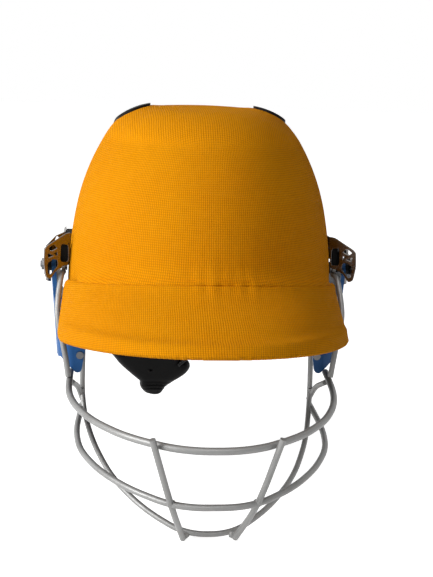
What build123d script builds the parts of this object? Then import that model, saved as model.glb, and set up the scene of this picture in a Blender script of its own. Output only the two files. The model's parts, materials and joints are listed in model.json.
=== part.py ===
from build123d import *
import os
from math import cos, radians, sin, tan

os.makedirs("parts", exist_ok=True)

# Axes: +Z up, the face looks along -Y, +X is the wearer's left. The origin is the centre of the head space.

# Dome: outer size over the fabric, and how the layers follow inwards
half_width = 101.3
crown_height = 138.3
skirt_depth = 72.0
length_share = 1.23
skirt_draw_share = 0.96
profile_shares = ((0.357, 0.990), (0.738, 0.818), (0.937, 0.445), (1.000, 0.000))
cover_thickness = 1.2
shell_wall = 3.2
liner_wall = 13.0
layer_gap = 0.2
half_length = half_width * length_share
overrun = 30.0

# Lower rim: places along the side view, as shares of the half length and of the rear drop
rim_drop = 55.0
rim_shares = (
    (-1.08, 0.25), (-0.76, 0.18), (-0.48, -0.04), (-0.32, -0.25), (-0.12, -0.55),
    (0.16, -0.65), (0.48, -0.76), (0.80, -0.95), (1.08, -1.00),
)
binding_height = 3.6
binding_lap = 0.9
liner_rim_rise = 12.0

# Peak: a flared skirt, cut to its outline in the side view
peak_top_level = 32.0
peak_drop = 64.0
peak_root_proud = 0.3
peak_low_half_width = 114.0
peak_low_reach = 230.0
peak_wall = 3.0
peak_flare_shares = ((0, 0, 0), (0.16, 0.01, 0.05), (0.38, 0.09, 0.29), (0.625, 0.34, 0.59), (1, 1, 1))
peak_wall_shares = ((0.53, 0.75), (0.57, 1.65), (0.90, 2.60), (1.00, 2.85), (1.10, 2.95))
peak_cover_shares = ((0.80, 0.80), (0.80, 0.90), (0.80, 1.60), (0.80, 2.30), (0.90, 2.50))
seam_height = 2.0
seam_rise_share = 0.194
seam_rear = 20.0
peak_corner_ahead = 67.0
peak_corner_drop = 27.0
peak_edge_rise_share = 0.16
peak_corner_radius = 15.0
peak_cut_reach = 240.0

# Vents at the top shoulders
vent_side = 55.0
vent_back = 30.0
vent_length = 74.0
vent_width = 25.0
vent_lean = 9.0
vent_proud = 2.6
vent_fit = 0.3
vent_slot_count = 4
vent_slot_width = 4.2
vent_slot_length = 15.0
vent_slot_pitch = 14.5

# Comfort pads: crowned cushions on the inner wall of the liner
pad_proud = 6.5
pad_stand = 0.3
pad_edge = 2.2
brow_pad_low = 26.0
brow_pad_high = 52.0
side_pad_low = -4.0
side_pad_high = 40.0
rear_pad_low = -26.0
rear_pad_high = 22.0
crown_pad_half = 30.0
crown_pad_sag = 1.0
brow_pad_sweep_share = 0.27
side_pad_sweep_share = 0.13
rear_pad_sweep_share = 0.17

# Side pivot: the stack along the bolt, measured out from the middle plane
pivot_ahead = 12.0
pivot_level = 17.0
eye_lean = 5.0
bolt_radius = 2.5
running_clearance = 0.05
stack_gap = 0.25
bolt_head_radius = 4.6
bolt_head_start = 101.5
bolt_head_height = 1.3
eye_radius = 6.0
eye_width = 2.4
block_width = 3.9
guard_wall = 3.2
spacer_width = 3.0
spacer_radius = 5.0
bracket_sheet = 1.6
nut_height = 2.4
nut_flats_radius = 4.6
bolt_stand_out = 0.9
bolt_slot_width = 1.0
bolt_slot_depth = 1.2
eye_start = bolt_head_start + bolt_head_height + stack_gap
block_start = eye_start + eye_width + stack_gap
guard_start = block_start + block_width + stack_gap
spacer_start = guard_start + guard_wall + stack_gap
pad_start = spacer_start + spacer_width + stack_gap
nut_start = pad_start + bracket_sheet + stack_gap
bolt_end = nut_start + nut_height + bolt_stand_out

# Rubber block between bracket, bolt and shell
block_rear = 2.0
block_ahead = 18.0
block_low = 14.5
block_high = 31.0
block_step = 25.5
block_round = 1.2

# Lattice bracket: a bent sheet, seen from above, then cut in the front and side views
tab_rear = 41.0
tab_ahead = -15.0
tab_stand = 2.6
web_ahead = 3.0
bracket_bend = 3.0
bracket_low = 1.0
bracket_top = 38.0
bracket_outer_top = 27.5
bracket_tab_low = 19.5
bracket_tip = 9.0
bracket_pad_round = 9.5
bracket_rim = 2.2
lattice_round = 0.6
lattice_shares = (
    ((0.26, 0.83), (0.44, 0.95), (0.60, 0.80), (0.44, 0.66)),
    ((0.30, 0.60), (0.40, 0.62), (0.50, 0.52)),
    ((0.62, 0.62), (0.86, 0.68), (0.80, 0.56)),
    ((0.60, 0.26), (0.76, 0.44), (0.90, 0.40), (0.90, 0.24), (0.76, 0.10)),
)
tab_screw_radius = 1.7
tab_screw_head_radius = 3.3
tab_screw_head_height = 1.5
tab_screw_bite = 2.2
tab_screw_rear = 35.0
tab_screw_front = 21.5
tab_screw_level = 29.0
screw_clearance = 0.15
tab_start = half_width + tab_stand

# Ear guard: a tapered side wall that turns in at its front edge
guard_top_level = 26.0
guard_low_level = -70.0
guard_draw_in = 6.6
guard_rear = 40.0
guard_rear_draw = 1.5
guard_front = 31.5
guard_swell = 1.6
guard_toe_in = 2.5
guard_shoulder = 17.0
guard_ear_inset = 0.7
guard_notch_ahead = 19.5
guard_notch_high = -4.0
guard_notch_low = -14.0
guard_side_shares = ((0.45, 0.10), (0.88, -0.06), (1.00, -0.24), (0.80, -0.44), (0.35, -0.56), (-0.30, -0.61))
guard_front_shares = (
    (1.30, 0.30), (0.85, 0.30), (0.85, -0.10), (0.52, -0.27), (0.02, -0.40), (0.20, -0.69), (0.78, -0.535),
    (1.30, -0.60),
)
guard_inner_edge = 85.5
guard_bend = 11.0
guard_slot_count = 5
guard_slot_width = 3.6
guard_slot_length = 24.0
guard_slot_pitch = 8.4
guard_slot_back = 8.0
guard_slot_top = -8.0
guard_rib_height = 1.3
guard_rib_width = 2.2
guard_rib_side = 90.5
guard_rib_length = 20.0
guard_rib_level = -42.0
rivet_side = 91.0
rivet_level = -49.0
rivet_radius = 1.5
rivet_head_radius = 2.9
rivet_head_height = 1.1

# Wire grille: wire sizes and the reach of each bar
top_wire_radius = 2.5
middle_wire_radius = 2.25
chin_wire_radius = 2.05
stay_wire_radius = 2.1
front_wire_radius = 2.15
wire_run_share = 0.45
top_bar_half = 99.0
top_bar_reach = 187.5
top_bar_level = -68.5
top_bar_end_rise = 7.5
top_bar_shares = (
    (0.222, 1.000, 0.00), (0.586, 0.856, 0.00), (0.808, 0.688, 0.00), (0.934, 0.517, 0.00),
    (0.998, 0.352, 0.07), (0.990, 0.187, 1.00),
)
middle_bar_half = 93.0
middle_bar_reach = 177.5
middle_bar_level = -111.0
middle_bar_end_rise = 19.5
middle_bar_shares = (
    (0.258, 1.000, 0.00), (0.602, 0.848, 0.13), (0.817, 0.693, 0.26), (0.962, 0.524, 0.44),
    (1.000, 0.349, 0.62), (0.962, 0.128, 1.00),
)
chin_bar_half = 89.0
chin_bar_reach = 144.5
chin_bar_level = -144.5
chin_bar_end_rise = 105.5
chin_bar_shares = (
    (0.180, 1.000, 0.000), (0.494, 0.848, 0.085), (0.742, 0.654, 0.199), (0.904, 0.415, 0.336),
    (1.006, 0.145, 0.500), (1.000, 0.124, 1.000),
)
front_rod_top_half = 42.0
front_rod_mid_half = 28.5
front_rod_low_half = 18.0
front_rod_top_lead = 9.2
front_rod_mid_lead = 1.4
front_rod_low_lead = 2.6
front_rod_rise = 6.0
front_rod_drop = 2.4
brace_side_top = 96.5
brace_ahead_top = 44.0
brace_level_top = -66.8
brace_side_mid = 92.4
brace_ahead_mid = 27.0
brace_level_mid = -75.5
brace_side_low = 89.2
brace_ahead_low = 19.0
brace_level_low = -88.0
stay_places = (
    (105.6, 24.0, 11.0), (107.6, 33.0, -4.0), (108.0, 39.5, -17.0), (102.0, 47.5, -42.0), (99.2, 49.0, -61.0),
)
stay_start_side = eye_start + eye_width / 2

# Chin strap: hangs from a rivet each side, the cup right of the middle
strap_width = 16.0
strap_thickness = 1.8
strap_back = 4.0
strap_side = 92.0
strap_rivet_level = -26.0
strap_rivet_radius = 2.0
strap_rivet_head_radius = 5.0
strap_rivet_head_height = 1.5
strap_rivet_gap = 0.2
strap_rivet_sink = 3.2
strap_tab_top = -19.0
strap_tab_low = -33.0
liner_notch_half = 14.0
liner_notch_top = -15.0
cup_side = 41.0
cup_level = -73.0
cup_half_width = 31.0
cup_high = 20.0
cup_lobe_level = 3.5
cup_shares = (
    (-1.00, 1.00), (-0.80, 0.52), (-0.16, -0.55), (-0.14, -0.86), (0.20, -0.90), (0.26, -0.60),
    (0.72, -0.20), (1.00, -0.05), (1.00, 0.42), (0.78, 0.62), (0.66, 1.00),
)
cup_depth = 11.0
cup_wall = 1.6
cup_draft = 30.0
cup_round = 1.6
cup_back_depth = 6.5
strap_bend = 5.0
strap_meet = 2.0
strap_knee_side = 86.0
strap_knee_level = -42.0
strap_dip_side = 12.0
strap_dip_level = -57.0
strap_rise_side = 84.0
strap_rise = 7.0
buckle_side = 44.0
buckle_level = -52.5
buckle_length = 25.0
buckle_width = 24.0
buckle_thickness = 8.0
buckle_round = 2.0
buckle_plug_length = 9.0
buckle_gap = 0.3
buckle_window = 6.0
prong_length = 12.0
prong_width = 4.0
prong_thickness = 3.4
prong_fit = 0.2

# Rear fitting: cradle with two arms in guides, moved by a dial
cradle_wall = 3.0
cradle_arm_side = 66.0
cradle_arm_front = 44.0
cradle_arm_rear = 76.0
cradle_turn_side = 50.0
cradle_turn_rear = 90.0
cradle_bend = 16.0
cradle_high = -40.0
cradle_arm_low = -49.0
cradle_low = -74.0
cradle_middle_half = 27.0
cradle_shoulder_half = 48.0
cradle_round = 5.0
cradle_window_half = 16.0
cradle_window_high = -42.5
cradle_window_low = -46.5
guide_front = 39.0
guide_rear = 54.0
guide_wall = 1.8
guide_flange = 12.0
guide_fit = 0.3
dial_level = -62.0
dial_radius = 13.0
dial_width = 7.0
dial_grip_count = 10
dial_grip_radius = 1.4
dial_pin_radius = 3.0
dial_gap = 0.3
housing_radius = 15.0
housing_depth = 4.5
cradle_pad_depth = 6.5
cradle_pad_half = 26.0
cradle_pad_high = 9.0
cradle_pad_edge = 3.0
cradle_pad_draft = 30.0


def write(piece, name):
    """Label a finished piece and write it out."""
    piece.part.label = name
    export_step(piece.part, f"parts/{name}.step")


def write_pair(piece, name):
    """Write the piece of the wearer's left side and its mirror twin."""
    write(piece, f"{name}_left")
    with BuildPart() as twin:
        mirror(piece.part, about=Plane.YZ)
    write(twin, f"{name}_right")


def dome_outline(inset):
    """Side of a dome that lies inset within the outer one, from the crown down to the skirt's edge."""
    wide = half_width - inset
    high = crown_height - inset
    places = [(wide * out, high * up) for out, up in profile_shares]
    run = TangentArc((0, high), places[0], tangent=(1, 0))
    for place in places[1:]:
        run = TangentArc(run @ 1, place, tangent=run % 1)
    Line(run @ 1, (wide * skirt_draw_share, -skirt_depth))


def dome_layer(outer_inset, inner_inset):
    """Turned layer of the dome, before it is stretched front to back."""
    outer_edge = (half_width - outer_inset) * skirt_draw_share
    inner_edge = (half_width - inner_inset) * skirt_draw_share
    with BuildPart() as layer:
        with BuildSketch(Plane.XZ):
            with BuildLine():
                dome_outline(outer_inset)
                Line((outer_edge, -skirt_depth), (inner_edge, -skirt_depth))
                dome_outline(inner_inset)
                Line((0, crown_height - inner_inset), (0, crown_height - outer_inset))
            make_face()
        revolve(axis=Axis.Z)
    return layer.part


def dome_solid(inset):
    """Full turned body of the dome that lies inset within the outer one."""
    with BuildPart() as body:
        with BuildSketch(Plane.XZ):
            with BuildLine():
                dome_outline(inset)
                Polyline(((half_width - inset) * skirt_draw_share, -skirt_depth), (0, -skirt_depth),
                         (0, crown_height - inset))
            make_face()
        revolve(axis=Axis.Z)
    return body.part


def stretch():
    """Stretch the finished layer front to back, to the helmet's oval."""
    scale(by=(1, length_share, 1))


def side_prism():
    """Extrude the pending side-view sketch through the whole helmet."""
    extrude(amount=2 * half_width, both=True)


def below_rim(lower, squeeze=1):
    """Everything under the rim line, the line shifted down by lower."""
    length = half_length / squeeze
    floor = -skirt_depth - overrun
    with BuildPart() as region:
        with BuildSketch(Plane.YZ):
            with BuildLine():
                line = Spline(*[(length * along, rim_drop * up - lower) for along, up in rim_shares])
                Polyline(
                    line @ 1, (length * rim_shares[-1][0], floor),
                    (length * rim_shares[0][0], floor), line @ 0,
                )
            make_face()
        side_prism()
    return region.part


def seam_level(ahead):
    """Height of the seam between crown and peak, so far ahead of the middle."""
    return seam_height + seam_rise_share * ahead


def peak_region(grow, squeeze=1):
    """Side view of the peak: under the seam, before the rear edge and over the lower edge."""
    low_front = peak_edge_rise_share * (peak_cut_reach - peak_corner_ahead) - peak_corner_drop - grow
    corner = ((-peak_corner_ahead + grow) / squeeze, -peak_corner_drop - grow)
    rear = ((-seam_rear + grow) / squeeze, seam_level(seam_rear) + grow)
    with BuildPart() as region:
        with BuildSketch(Plane.YZ):
            with BuildLine():
                edge = FilletPolyline(
                    (-peak_cut_reach / squeeze, low_front), corner, rear, radius=peak_corner_radius / squeeze,
                )
                Polyline(edge @ 1, (-peak_cut_reach / squeeze, seam_level(peak_cut_reach) + grow), edge @ 0)
            make_face()
        side_prism()
    return region.part


def peak_body(outer_grow, wall_shares, wall):
    """Flared wall of the peak: crescents at rising drops, lofted into one skirt."""
    root_half = half_width + peak_root_proud
    root_reach = half_length - layer_gap
    with BuildPart() as body:
        for (down, wider, longer), (thin, deep) in zip(peak_flare_shares, wall_shares):
            half = root_half + wider * (peak_low_half_width - root_half) + outer_grow
            reach = root_reach + longer * (peak_low_reach - root_reach) + outer_grow
            with BuildSketch(Plane.XY.offset(peak_top_level - down * peak_drop + outer_grow)):
                with BuildLine():
                    outer = EllipticalCenterArc((0, 0), half, reach, start_angle=180, arc_size=180)
                    inner = EllipticalCenterArc(
                        (0, 0), half - thin * wall, reach - deep * wall, start_angle=180, arc_size=180)
                    Line(outer @ 0, inner @ 0)
                    Line(outer @ 1, inner @ 1)
                make_face()
        loft()
    return body.part


def bend_radii(points):
    """Bend radius for each inner point of a route, as large as its two runs allow."""
    radii = []
    for before, here, after in zip(points, points[1:], points[2:]):
        first_run = Vector(*here) - Vector(*before)
        next_run = Vector(*after) - Vector(*here)
        half_turn = radians(first_run.get_angle(next_run)) / 2
        radii.append(wire_run_share * min(first_run.length, next_run.length) / tan(half_turn))
    return radii


def wire(points, radius):
    """Round wire along straight runs joined by tangent bends."""
    with BuildPart() as rod:
        with BuildLine() as route:
            FilletPolyline(*points, radius=bend_radii(points))
        with BuildSketch(Plane(origin=route.line @ 0, z_dir=route.line % 0)):
            Circle(radius)
        sweep(path=route.line)
    return rod


def half_bar(shares, half, reach, level, rise):
    """Points of one half of a bar, from the middle to its end."""
    return [(half * out, -reach * ahead, level + rise * up) for out, ahead, up in shares]


def whole_bar(half_points):
    """Points of a bar that is alike on both sides."""
    return [(-x, y, z) for x, y, z in reversed(half_points)] + half_points


def stack_plane(start, ahead=pivot_ahead, level=pivot_level):
    """Plane across the pivot line, so far out from the middle plane."""
    return Plane(origin=(start, -ahead, level), x_dir=(0, 1, 0), z_dir=(1, 0, 0))


def front_plane(back):
    """Plane of a front view at a distance behind the middle, looking ahead, with X to its right."""
    return Plane(origin=(0, back, 0), x_dir=(1, 0, 0), z_dir=(0, -1, 0))


def squeezed_box(x_low, x_high, y_low, y_high, z_low, z_high):
    """Block given by its real sides, drawn in before the stretch."""
    with BuildPart() as block:
        with BuildSketch(Plane.XY.offset(z_low)):
            with Locations(((x_low + x_high) / 2, (y_low + y_high) / 2 / length_share)):
                Rectangle(x_high - x_low, (y_high - y_low) / length_share)
        extrude(amount=z_high - z_low)
    return block.part


def side_plane(start, back=0, level=0, side=1):
    """Plane across X at a start, seen from the given side, with y drawn to the rear and z up."""
    return Plane(origin=(start, back, level), x_dir=(0, 1, 0), z_dir=(side, 0, 0))


def squeezed_round(back, level, radius, start, end):
    """Round room along X for both sides, drawn in before the stretch."""
    with BuildPart() as room:
        for side in (-1, 1):
            flat = side_plane(side * start, back / length_share, level, side)
            with BuildSketch(flat):
                Ellipse(radius / length_share, radius)
            extrude(amount=end - start)
    return room.part


def vent_outline(grow):
    """Upright prism with the vent's long rounded outline on both shoulders."""
    with BuildPart() as prism:
        with BuildSketch():
            for side in (-1, 1):
                with Locations((side * vent_side, vent_back / length_share)):
                    SlotOverall(vent_length / length_share + 2 * grow, vent_width + 2 * grow,
                                rotation=90 - side * vent_lean)
        extrude(amount=crown_height + overrun)
    return prism.part


def vent_slots():
    """Upright slots in a row along each vent."""
    lean = radians(vent_lean)
    with BuildPart() as slots:
        with BuildSketch():
            for side in (-1, 1):
                for place in range(vent_slot_count):
                    along = (place - (vent_slot_count - 1) / 2) * vent_slot_pitch / length_share
                    spot = (
                        side * (vent_side + along * sin(lean)), vent_back / length_share + along * cos(lean)
                    )
                    with Locations(spot):
                        SlotOverall(vent_slot_length, vent_slot_width, rotation=-side * vent_lean)
        extrude(amount=crown_height + overrun)
    return slots.part


# Rooms that several layers leave open, all before the stretch
liner_outset = cover_thickness + shell_wall + 2 * layer_gap
liner_inset = liner_outset + liner_wall
shell_outset = cover_thickness + layer_gap
shell_inset = shell_outset + shell_wall
rim_room = below_rim(0, length_share)
vent_holes = vent_slots()
screw_start = tab_start - cover_thickness - shell_wall
screw_holes = [
    squeezed_round(
        back, tab_screw_level, tab_screw_radius + screw_clearance, screw_start - tab_screw_bite, tab_start
    )
    for back in (tab_screw_front, tab_screw_rear)
]
strap_rivet_end = strap_side + strap_thickness / 2 + strap_rivet_gap + strap_rivet_sink
strap_rivet_room = squeezed_round(strap_back, strap_rivet_level, strap_rivet_radius + screw_clearance,
                                  strap_side, strap_rivet_end + screw_clearance)

# Crown cover: stretched fabric over the shell, down to the rim and up to the seam
with BuildPart() as crown_cover:
    add(dome_layer(0, cover_thickness))
    add(rim_room, mode=Mode.SUBTRACT)
    add(peak_region(layer_gap, length_share), mode=Mode.SUBTRACT)
    add(vent_outline(vent_fit), mode=Mode.SUBTRACT)
    add(screw_holes, mode=Mode.SUBTRACT)
    stretch()
write(crown_cover, "crown_cover")

# Outer shell: moulded wall with vent slots and blind holes for screws and strap rivets
with BuildPart() as outer_shell:
    add(dome_layer(shell_outset, shell_inset))
    add(rim_room, mode=Mode.SUBTRACT)
    add(vent_holes, mode=Mode.SUBTRACT)
    add(screw_holes, mode=Mode.SUBTRACT)
    add(strap_rivet_room, mode=Mode.SUBTRACT)
    stretch()
write(outer_shell, "outer_shell")

# Liner: thick foam with the vent channels, notched over the strap rivets
with BuildPart() as foam_liner:
    add(dome_layer(liner_outset, liner_inset))
    add(below_rim(-liner_rim_rise, length_share), mode=Mode.SUBTRACT)
    add(vent_holes, mode=Mode.SUBTRACT)
    add(squeezed_box(-half_width, half_width, strap_back - liner_notch_half, strap_back + liner_notch_half,
                     -skirt_depth, liner_notch_top), mode=Mode.SUBTRACT)
    stretch()
write(foam_liner, "foam_liner")

# Edge binding: a rubber channel pressed over the rim of shell and fabric
with BuildPart() as rim_channel:
    add(dome_layer(-layer_gap, shell_inset + layer_gap))
    add(below_rim(layer_gap, length_share), mode=Mode.SUBTRACT)
with BuildPart() as edge_binding:
    add(dome_layer(-binding_lap - layer_gap, shell_inset + binding_lap + layer_gap))
    add(below_rim(-binding_height, length_share), mode=Mode.INTERSECT)
    add(below_rim(binding_lap + layer_gap, length_share), mode=Mode.SUBTRACT)
    add(rim_channel.part, mode=Mode.SUBTRACT)
    stretch()
write(edge_binding, "edge_binding")

# Vent covers: raised louvred strips on both shoulders
with BuildPart() as vent_cover:
    add(dome_layer(-vent_proud, cover_thickness))
    add(vent_outline(0), mode=Mode.INTERSECT)
    add(vent_holes, mode=Mode.SUBTRACT)
    stretch()
for name, keep in (("left", Keep.TOP), ("right", Keep.BOTTOM)):
    with BuildPart() as one_vent:
        add(split(vent_cover.part, bisect_by=Plane.YZ, keep=keep, mode=Mode.PRIVATE))
    write(one_vent, f"vent_cover_{name}")

# Peak and its own fabric panel
with BuildPart() as peak:
    add(peak_body(0, peak_wall_shares, peak_wall))
    add(peak_region(0), mode=Mode.INTERSECT)
write(peak, "peak")
with BuildPart() as peak_cover:
    add(peak_body(cover_thickness, peak_cover_shares, cover_thickness))
    add(peak_region(0), mode=Mode.INTERSECT)
write(peak_cover, "peak_cover")

# Comfort pads: crowned cushions turned along the liner's inner wall
pad_inset = liner_inset + pad_stand


def wall_place(level):
    """Distance from the axis to the pads' seat at a height, on the profile of the dome."""
    wide = half_width - pad_inset
    high = crown_height - pad_inset
    with BuildLine(mode=Mode.PRIVATE) as outline:
        dome_outline(pad_inset)
    crossing = Edge.make_line((0, level), (2 * wide, level))
    touches = [edge.intersect(crossing) for edge in outline.edges()]
    spots = [spot.X for touch in touches if touch for spot in touch]
    return max(spots) if spots else wide * max(0, 1 - level / high)


def comfort_pad(low, high, middle_turn, sweep_share):
    """Crowned cushion between two heights, turned through a share of a full turn."""
    low_spot = Vector(wall_place(low), low)
    high_spot = Vector(wall_place(high), high)
    along = (high_spot - low_spot).normalized()
    inward = Vector(-along.Y, along.X)
    middle = (low_spot + high_spot) / 2 + inward * pad_proud
    with BuildPart() as pad:
        with BuildSketch(Plane.XZ.rotated((0, 0, middle_turn - 180 * sweep_share))):
            with BuildLine():
                Line(low_spot, high_spot)
                Line(high_spot, high_spot + inward * pad_edge)
                ThreePointArc(high_spot + inward * pad_edge, middle, low_spot + inward * pad_edge)
                Line(low_spot + inward * pad_edge, low_spot)
            make_face()
        revolve(axis=Axis.Z, revolution_arc=360 * sweep_share)
        stretch()
    return pad


write(comfort_pad(brow_pad_low, brow_pad_high, -90, brow_pad_sweep_share), "brow_pad")
write(comfort_pad(rear_pad_low, rear_pad_high, 90, rear_pad_sweep_share), "rear_pad")
write(comfort_pad(side_pad_low, side_pad_high, 0, side_pad_sweep_share), "side_pad_left")
write(comfort_pad(side_pad_low, side_pad_high, 180, side_pad_sweep_share), "side_pad_right")
with BuildPart() as crown_pad:
    ceiling = crown_height - pad_inset - pad_stand - crown_pad_sag
    with BuildSketch(Plane.XZ):
        with BuildLine():
            Polyline(
                (0, ceiling - pad_proud), (0, ceiling), (crown_pad_half, ceiling),
                (crown_pad_half, ceiling - pad_edge),
            )
            TangentArc((0, ceiling - pad_proud), (crown_pad_half, ceiling - pad_edge), tangent=(1, 0))
        make_face()
    revolve(axis=Axis.Z)
write(crown_pad, "crown_pad")

# Lattice bracket: bent sheet with a screw tab, an open web and a pad for the bolt
tab_middle = tab_start + bracket_sheet / 2
pad_middle = pad_start + bracket_sheet / 2
bracket_reach = pad_start + bracket_sheet - tab_start
bracket_rise = bracket_top - bracket_low
pad_nose = pivot_ahead + bracket_pad_round
with BuildPart() as bracket:
    with BuildSketch(Plane.XY.offset(bracket_low)):
        with BuildLine():
            FilletPolyline(
                (tab_middle, tab_rear), (tab_middle, -tab_ahead), (pad_middle, -web_ahead),
                (pad_middle, -pad_nose),
                radius=bracket_bend,
            )
        trace(line_width=bracket_sheet)
    extrude(amount=bracket_rise)
    with BuildSketch(front_plane(tab_rear)):
        with BuildLine():
            Polyline(
                (tab_start - bracket_sheet, bracket_top),
                (tab_start + bracket_reach / 2, bracket_top - bracket_rim),
                (pad_start + bracket_sheet + bracket_rim, bracket_outer_top),
                (pad_start + bracket_sheet + bracket_rim, bracket_low + bracket_rim),
                (pad_start - bracket_rim, bracket_low), (pad_start - bracket_rim, bracket_low + bracket_tip),
                (pad_start - bracket_rim - bracket_sheet, bracket_tab_low),
                (tab_start - bracket_sheet, bracket_tab_low),
                close=True,
            )
        make_face()
    extrude(amount=tab_rear + pad_nose, mode=Mode.INTERSECT)
    with BuildSketch(side_plane(tab_start - bracket_sheet)):
        with Locations((tab_rear / 2, (bracket_low + bracket_top) / 2)):
            Rectangle(tab_rear + 2 * web_ahead, bracket_rise)
        with Locations((-pivot_ahead, pivot_level)):
            Circle(bracket_pad_round)
        with Locations((-pivot_ahead / 2 - web_ahead, pivot_level)):
            Rectangle(pivot_ahead, 2 * bracket_pad_round)
    extrude(amount=bracket_reach + 2 * bracket_sheet, mode=Mode.INTERSECT)
    with BuildSketch(front_plane(-tab_ahead - bracket_bend)):
        for window in lattice_shares:
            with BuildLine():
                Polyline(
                    *[(tab_start + across * bracket_reach, bracket_low + up * bracket_rise)
                      for across, up in window],
                    close=True,
                )
            make_face()
        fillet(vertices(), lattice_round)
    extrude(amount=-tab_ahead - bracket_bend + web_ahead - bracket_sheet, mode=Mode.SUBTRACT)
    with BuildSketch(stack_plane(pad_start - bracket_sheet)):
        Circle(bolt_radius + screw_clearance)
    extrude(amount=3 * bracket_sheet, mode=Mode.SUBTRACT)
    with BuildSketch(side_plane(tab_start - bracket_sheet, level=tab_screw_level)):
        with Locations((tab_screw_front, 0), (tab_screw_rear, 0)):
            Circle(tab_screw_radius + screw_clearance)
    extrude(amount=3 * bracket_sheet, mode=Mode.SUBTRACT)
write_pair(bracket, "side_bracket")

# Rubber seat between the bracket's tab and the curved shell
with BuildPart() as bracket_seat:
    add(squeezed_box(
        half_width / 2, tab_start - layer_gap, -tab_ahead, tab_rear,
        bracket_tab_low, bracket_top - bracket_rim,
    ))
    add(dome_solid(-layer_gap), mode=Mode.SUBTRACT)
    add(screw_holes, mode=Mode.SUBTRACT)
    stretch()
write_pair(bracket_seat, "bracket_seat")

# Pan-head screws that hold both brackets to the shell
with BuildPart() as bracket_screws:
    for side in (-1, 1):
        for back in (tab_screw_front, tab_screw_rear):
            spot = (side * (screw_start - tab_screw_bite + screw_clearance), back, tab_screw_level)
            with BuildSketch(side_plane(*spot, side)):
                Circle(tab_screw_radius)
            extrude(amount=tab_start + bracket_sheet - screw_start + tab_screw_bite)
            spot = (side * (tab_start + bracket_sheet + layer_gap / 2), back, tab_screw_level)
            with BuildSketch(side_plane(*spot, side)):
                Circle(tab_screw_head_radius)
            head = extrude(amount=tab_screw_head_height)
            with BuildSketch(side_plane(*spot, side).offset(tab_screw_head_height)):
                Rectangle(tab_screw_head_radius, tab_screw_radius / 3)
                Rectangle(tab_screw_radius / 3, tab_screw_head_radius)
            extrude(amount=-tab_screw_head_height / 2, mode=Mode.SUBTRACT)
write(bracket_screws, "bracket_screws")

# Pivot bolt: head next to the shell, slotted end outside the nut
with BuildPart() as pivot_bolt:
    with BuildSketch(stack_plane(bolt_head_start)):
        Circle(bolt_head_radius)
    extrude(amount=bolt_head_height)
    with BuildSketch(stack_plane(bolt_head_start)):
        Circle(bolt_radius)
    extrude(amount=bolt_end - bolt_head_start)
    with BuildSketch(stack_plane(bolt_end)):
        Rectangle(bolt_slot_width, 2 * bolt_radius + bolt_slot_width)
    extrude(amount=-bolt_slot_depth, mode=Mode.SUBTRACT)
write_pair(pivot_bolt, "pivot_bolt")
with BuildPart() as pivot_nut:
    with BuildSketch(stack_plane(nut_start)):
        RegularPolygon(nut_flats_radius, 6)
        Circle(bolt_radius + running_clearance, mode=Mode.SUBTRACT)
    extrude(amount=nut_height)
write_pair(pivot_nut, "pivot_nut")
with BuildPart() as pivot_spacer:
    with BuildSketch(stack_plane(spacer_start)):
        Circle(spacer_radius)
        Circle(bolt_radius + running_clearance, mode=Mode.SUBTRACT)
    extrude(amount=spacer_width)
write_pair(pivot_spacer, "pivot_spacer")

# Rubber block round the bolt: steps in over the stay's eye to the shell
with BuildPart() as rubber_block:
    with BuildSketch(side_plane(block_start)):
        with Locations(((block_rear - block_ahead) / 2, (block_low + block_high) / 2)):
            RectangleRounded(block_rear + block_ahead, block_high - block_low, block_round)
    extrude(amount=block_width)
    with BuildSketch(side_plane(bolt_head_start)):
        with Locations(((block_rear - block_ahead) / 2, (block_step + block_high) / 2)):
            RectangleRounded(block_rear + block_ahead, block_high - block_step, block_round)
    extrude(amount=block_start + block_width - bolt_head_start)
    with BuildSketch(stack_plane(block_start)):
        Circle(bolt_radius + screw_clearance)
    extrude(amount=block_width, mode=Mode.SUBTRACT)
write_pair(rubber_block, "rubber_block")

# Wire grille: each wire is one rod, welded where it crosses another
top_points = whole_bar(half_bar(top_bar_shares, top_bar_half, top_bar_reach, top_bar_level, top_bar_end_rise))
middle_points = whole_bar(
    half_bar(middle_bar_shares, middle_bar_half, middle_bar_reach, middle_bar_level, middle_bar_end_rise))
chin_points = whole_bar(
    half_bar(chin_bar_shares, chin_bar_half, chin_bar_reach, chin_bar_level, chin_bar_end_rise)
)
write(wire(top_points, top_wire_radius), "top_bar")
write(wire(middle_points, middle_wire_radius), "middle_bar")
write(wire(chin_points, chin_wire_radius), "chin_bar")


def ahead_at(points, side):
    """How far ahead a bar's straight runs lie at a distance from the middle plane."""
    for before, after in zip(points, points[1:]):
        if before[0] <= side <= after[0]:
            part_way = (side - before[0]) / (after[0] - before[0])
            return before[1] + part_way * (after[1] - before[1])
    return points[-1][1]


front_rod = wire([
    (front_rod_top_half, ahead_at(top_points, front_rod_top_half) - front_rod_top_lead,
     top_bar_level + front_rod_rise),
    (front_rod_mid_half, ahead_at(middle_points, front_rod_mid_half) - front_rod_mid_lead, middle_bar_level),
    (front_rod_low_half, ahead_at(chin_points, front_rod_low_half) - front_rod_low_lead,
     chin_bar_level - front_rod_drop),
], front_wire_radius)
write_pair(front_rod, "front_rod")
cheek_brace = wire([
    (brace_side_top, -brace_ahead_top, brace_level_top),
    (brace_side_mid, -brace_ahead_mid, brace_level_mid),
    (brace_side_low, -brace_ahead_low, brace_level_low),
], stay_wire_radius)
write_pair(cheek_brace, "cheek_brace")

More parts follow.
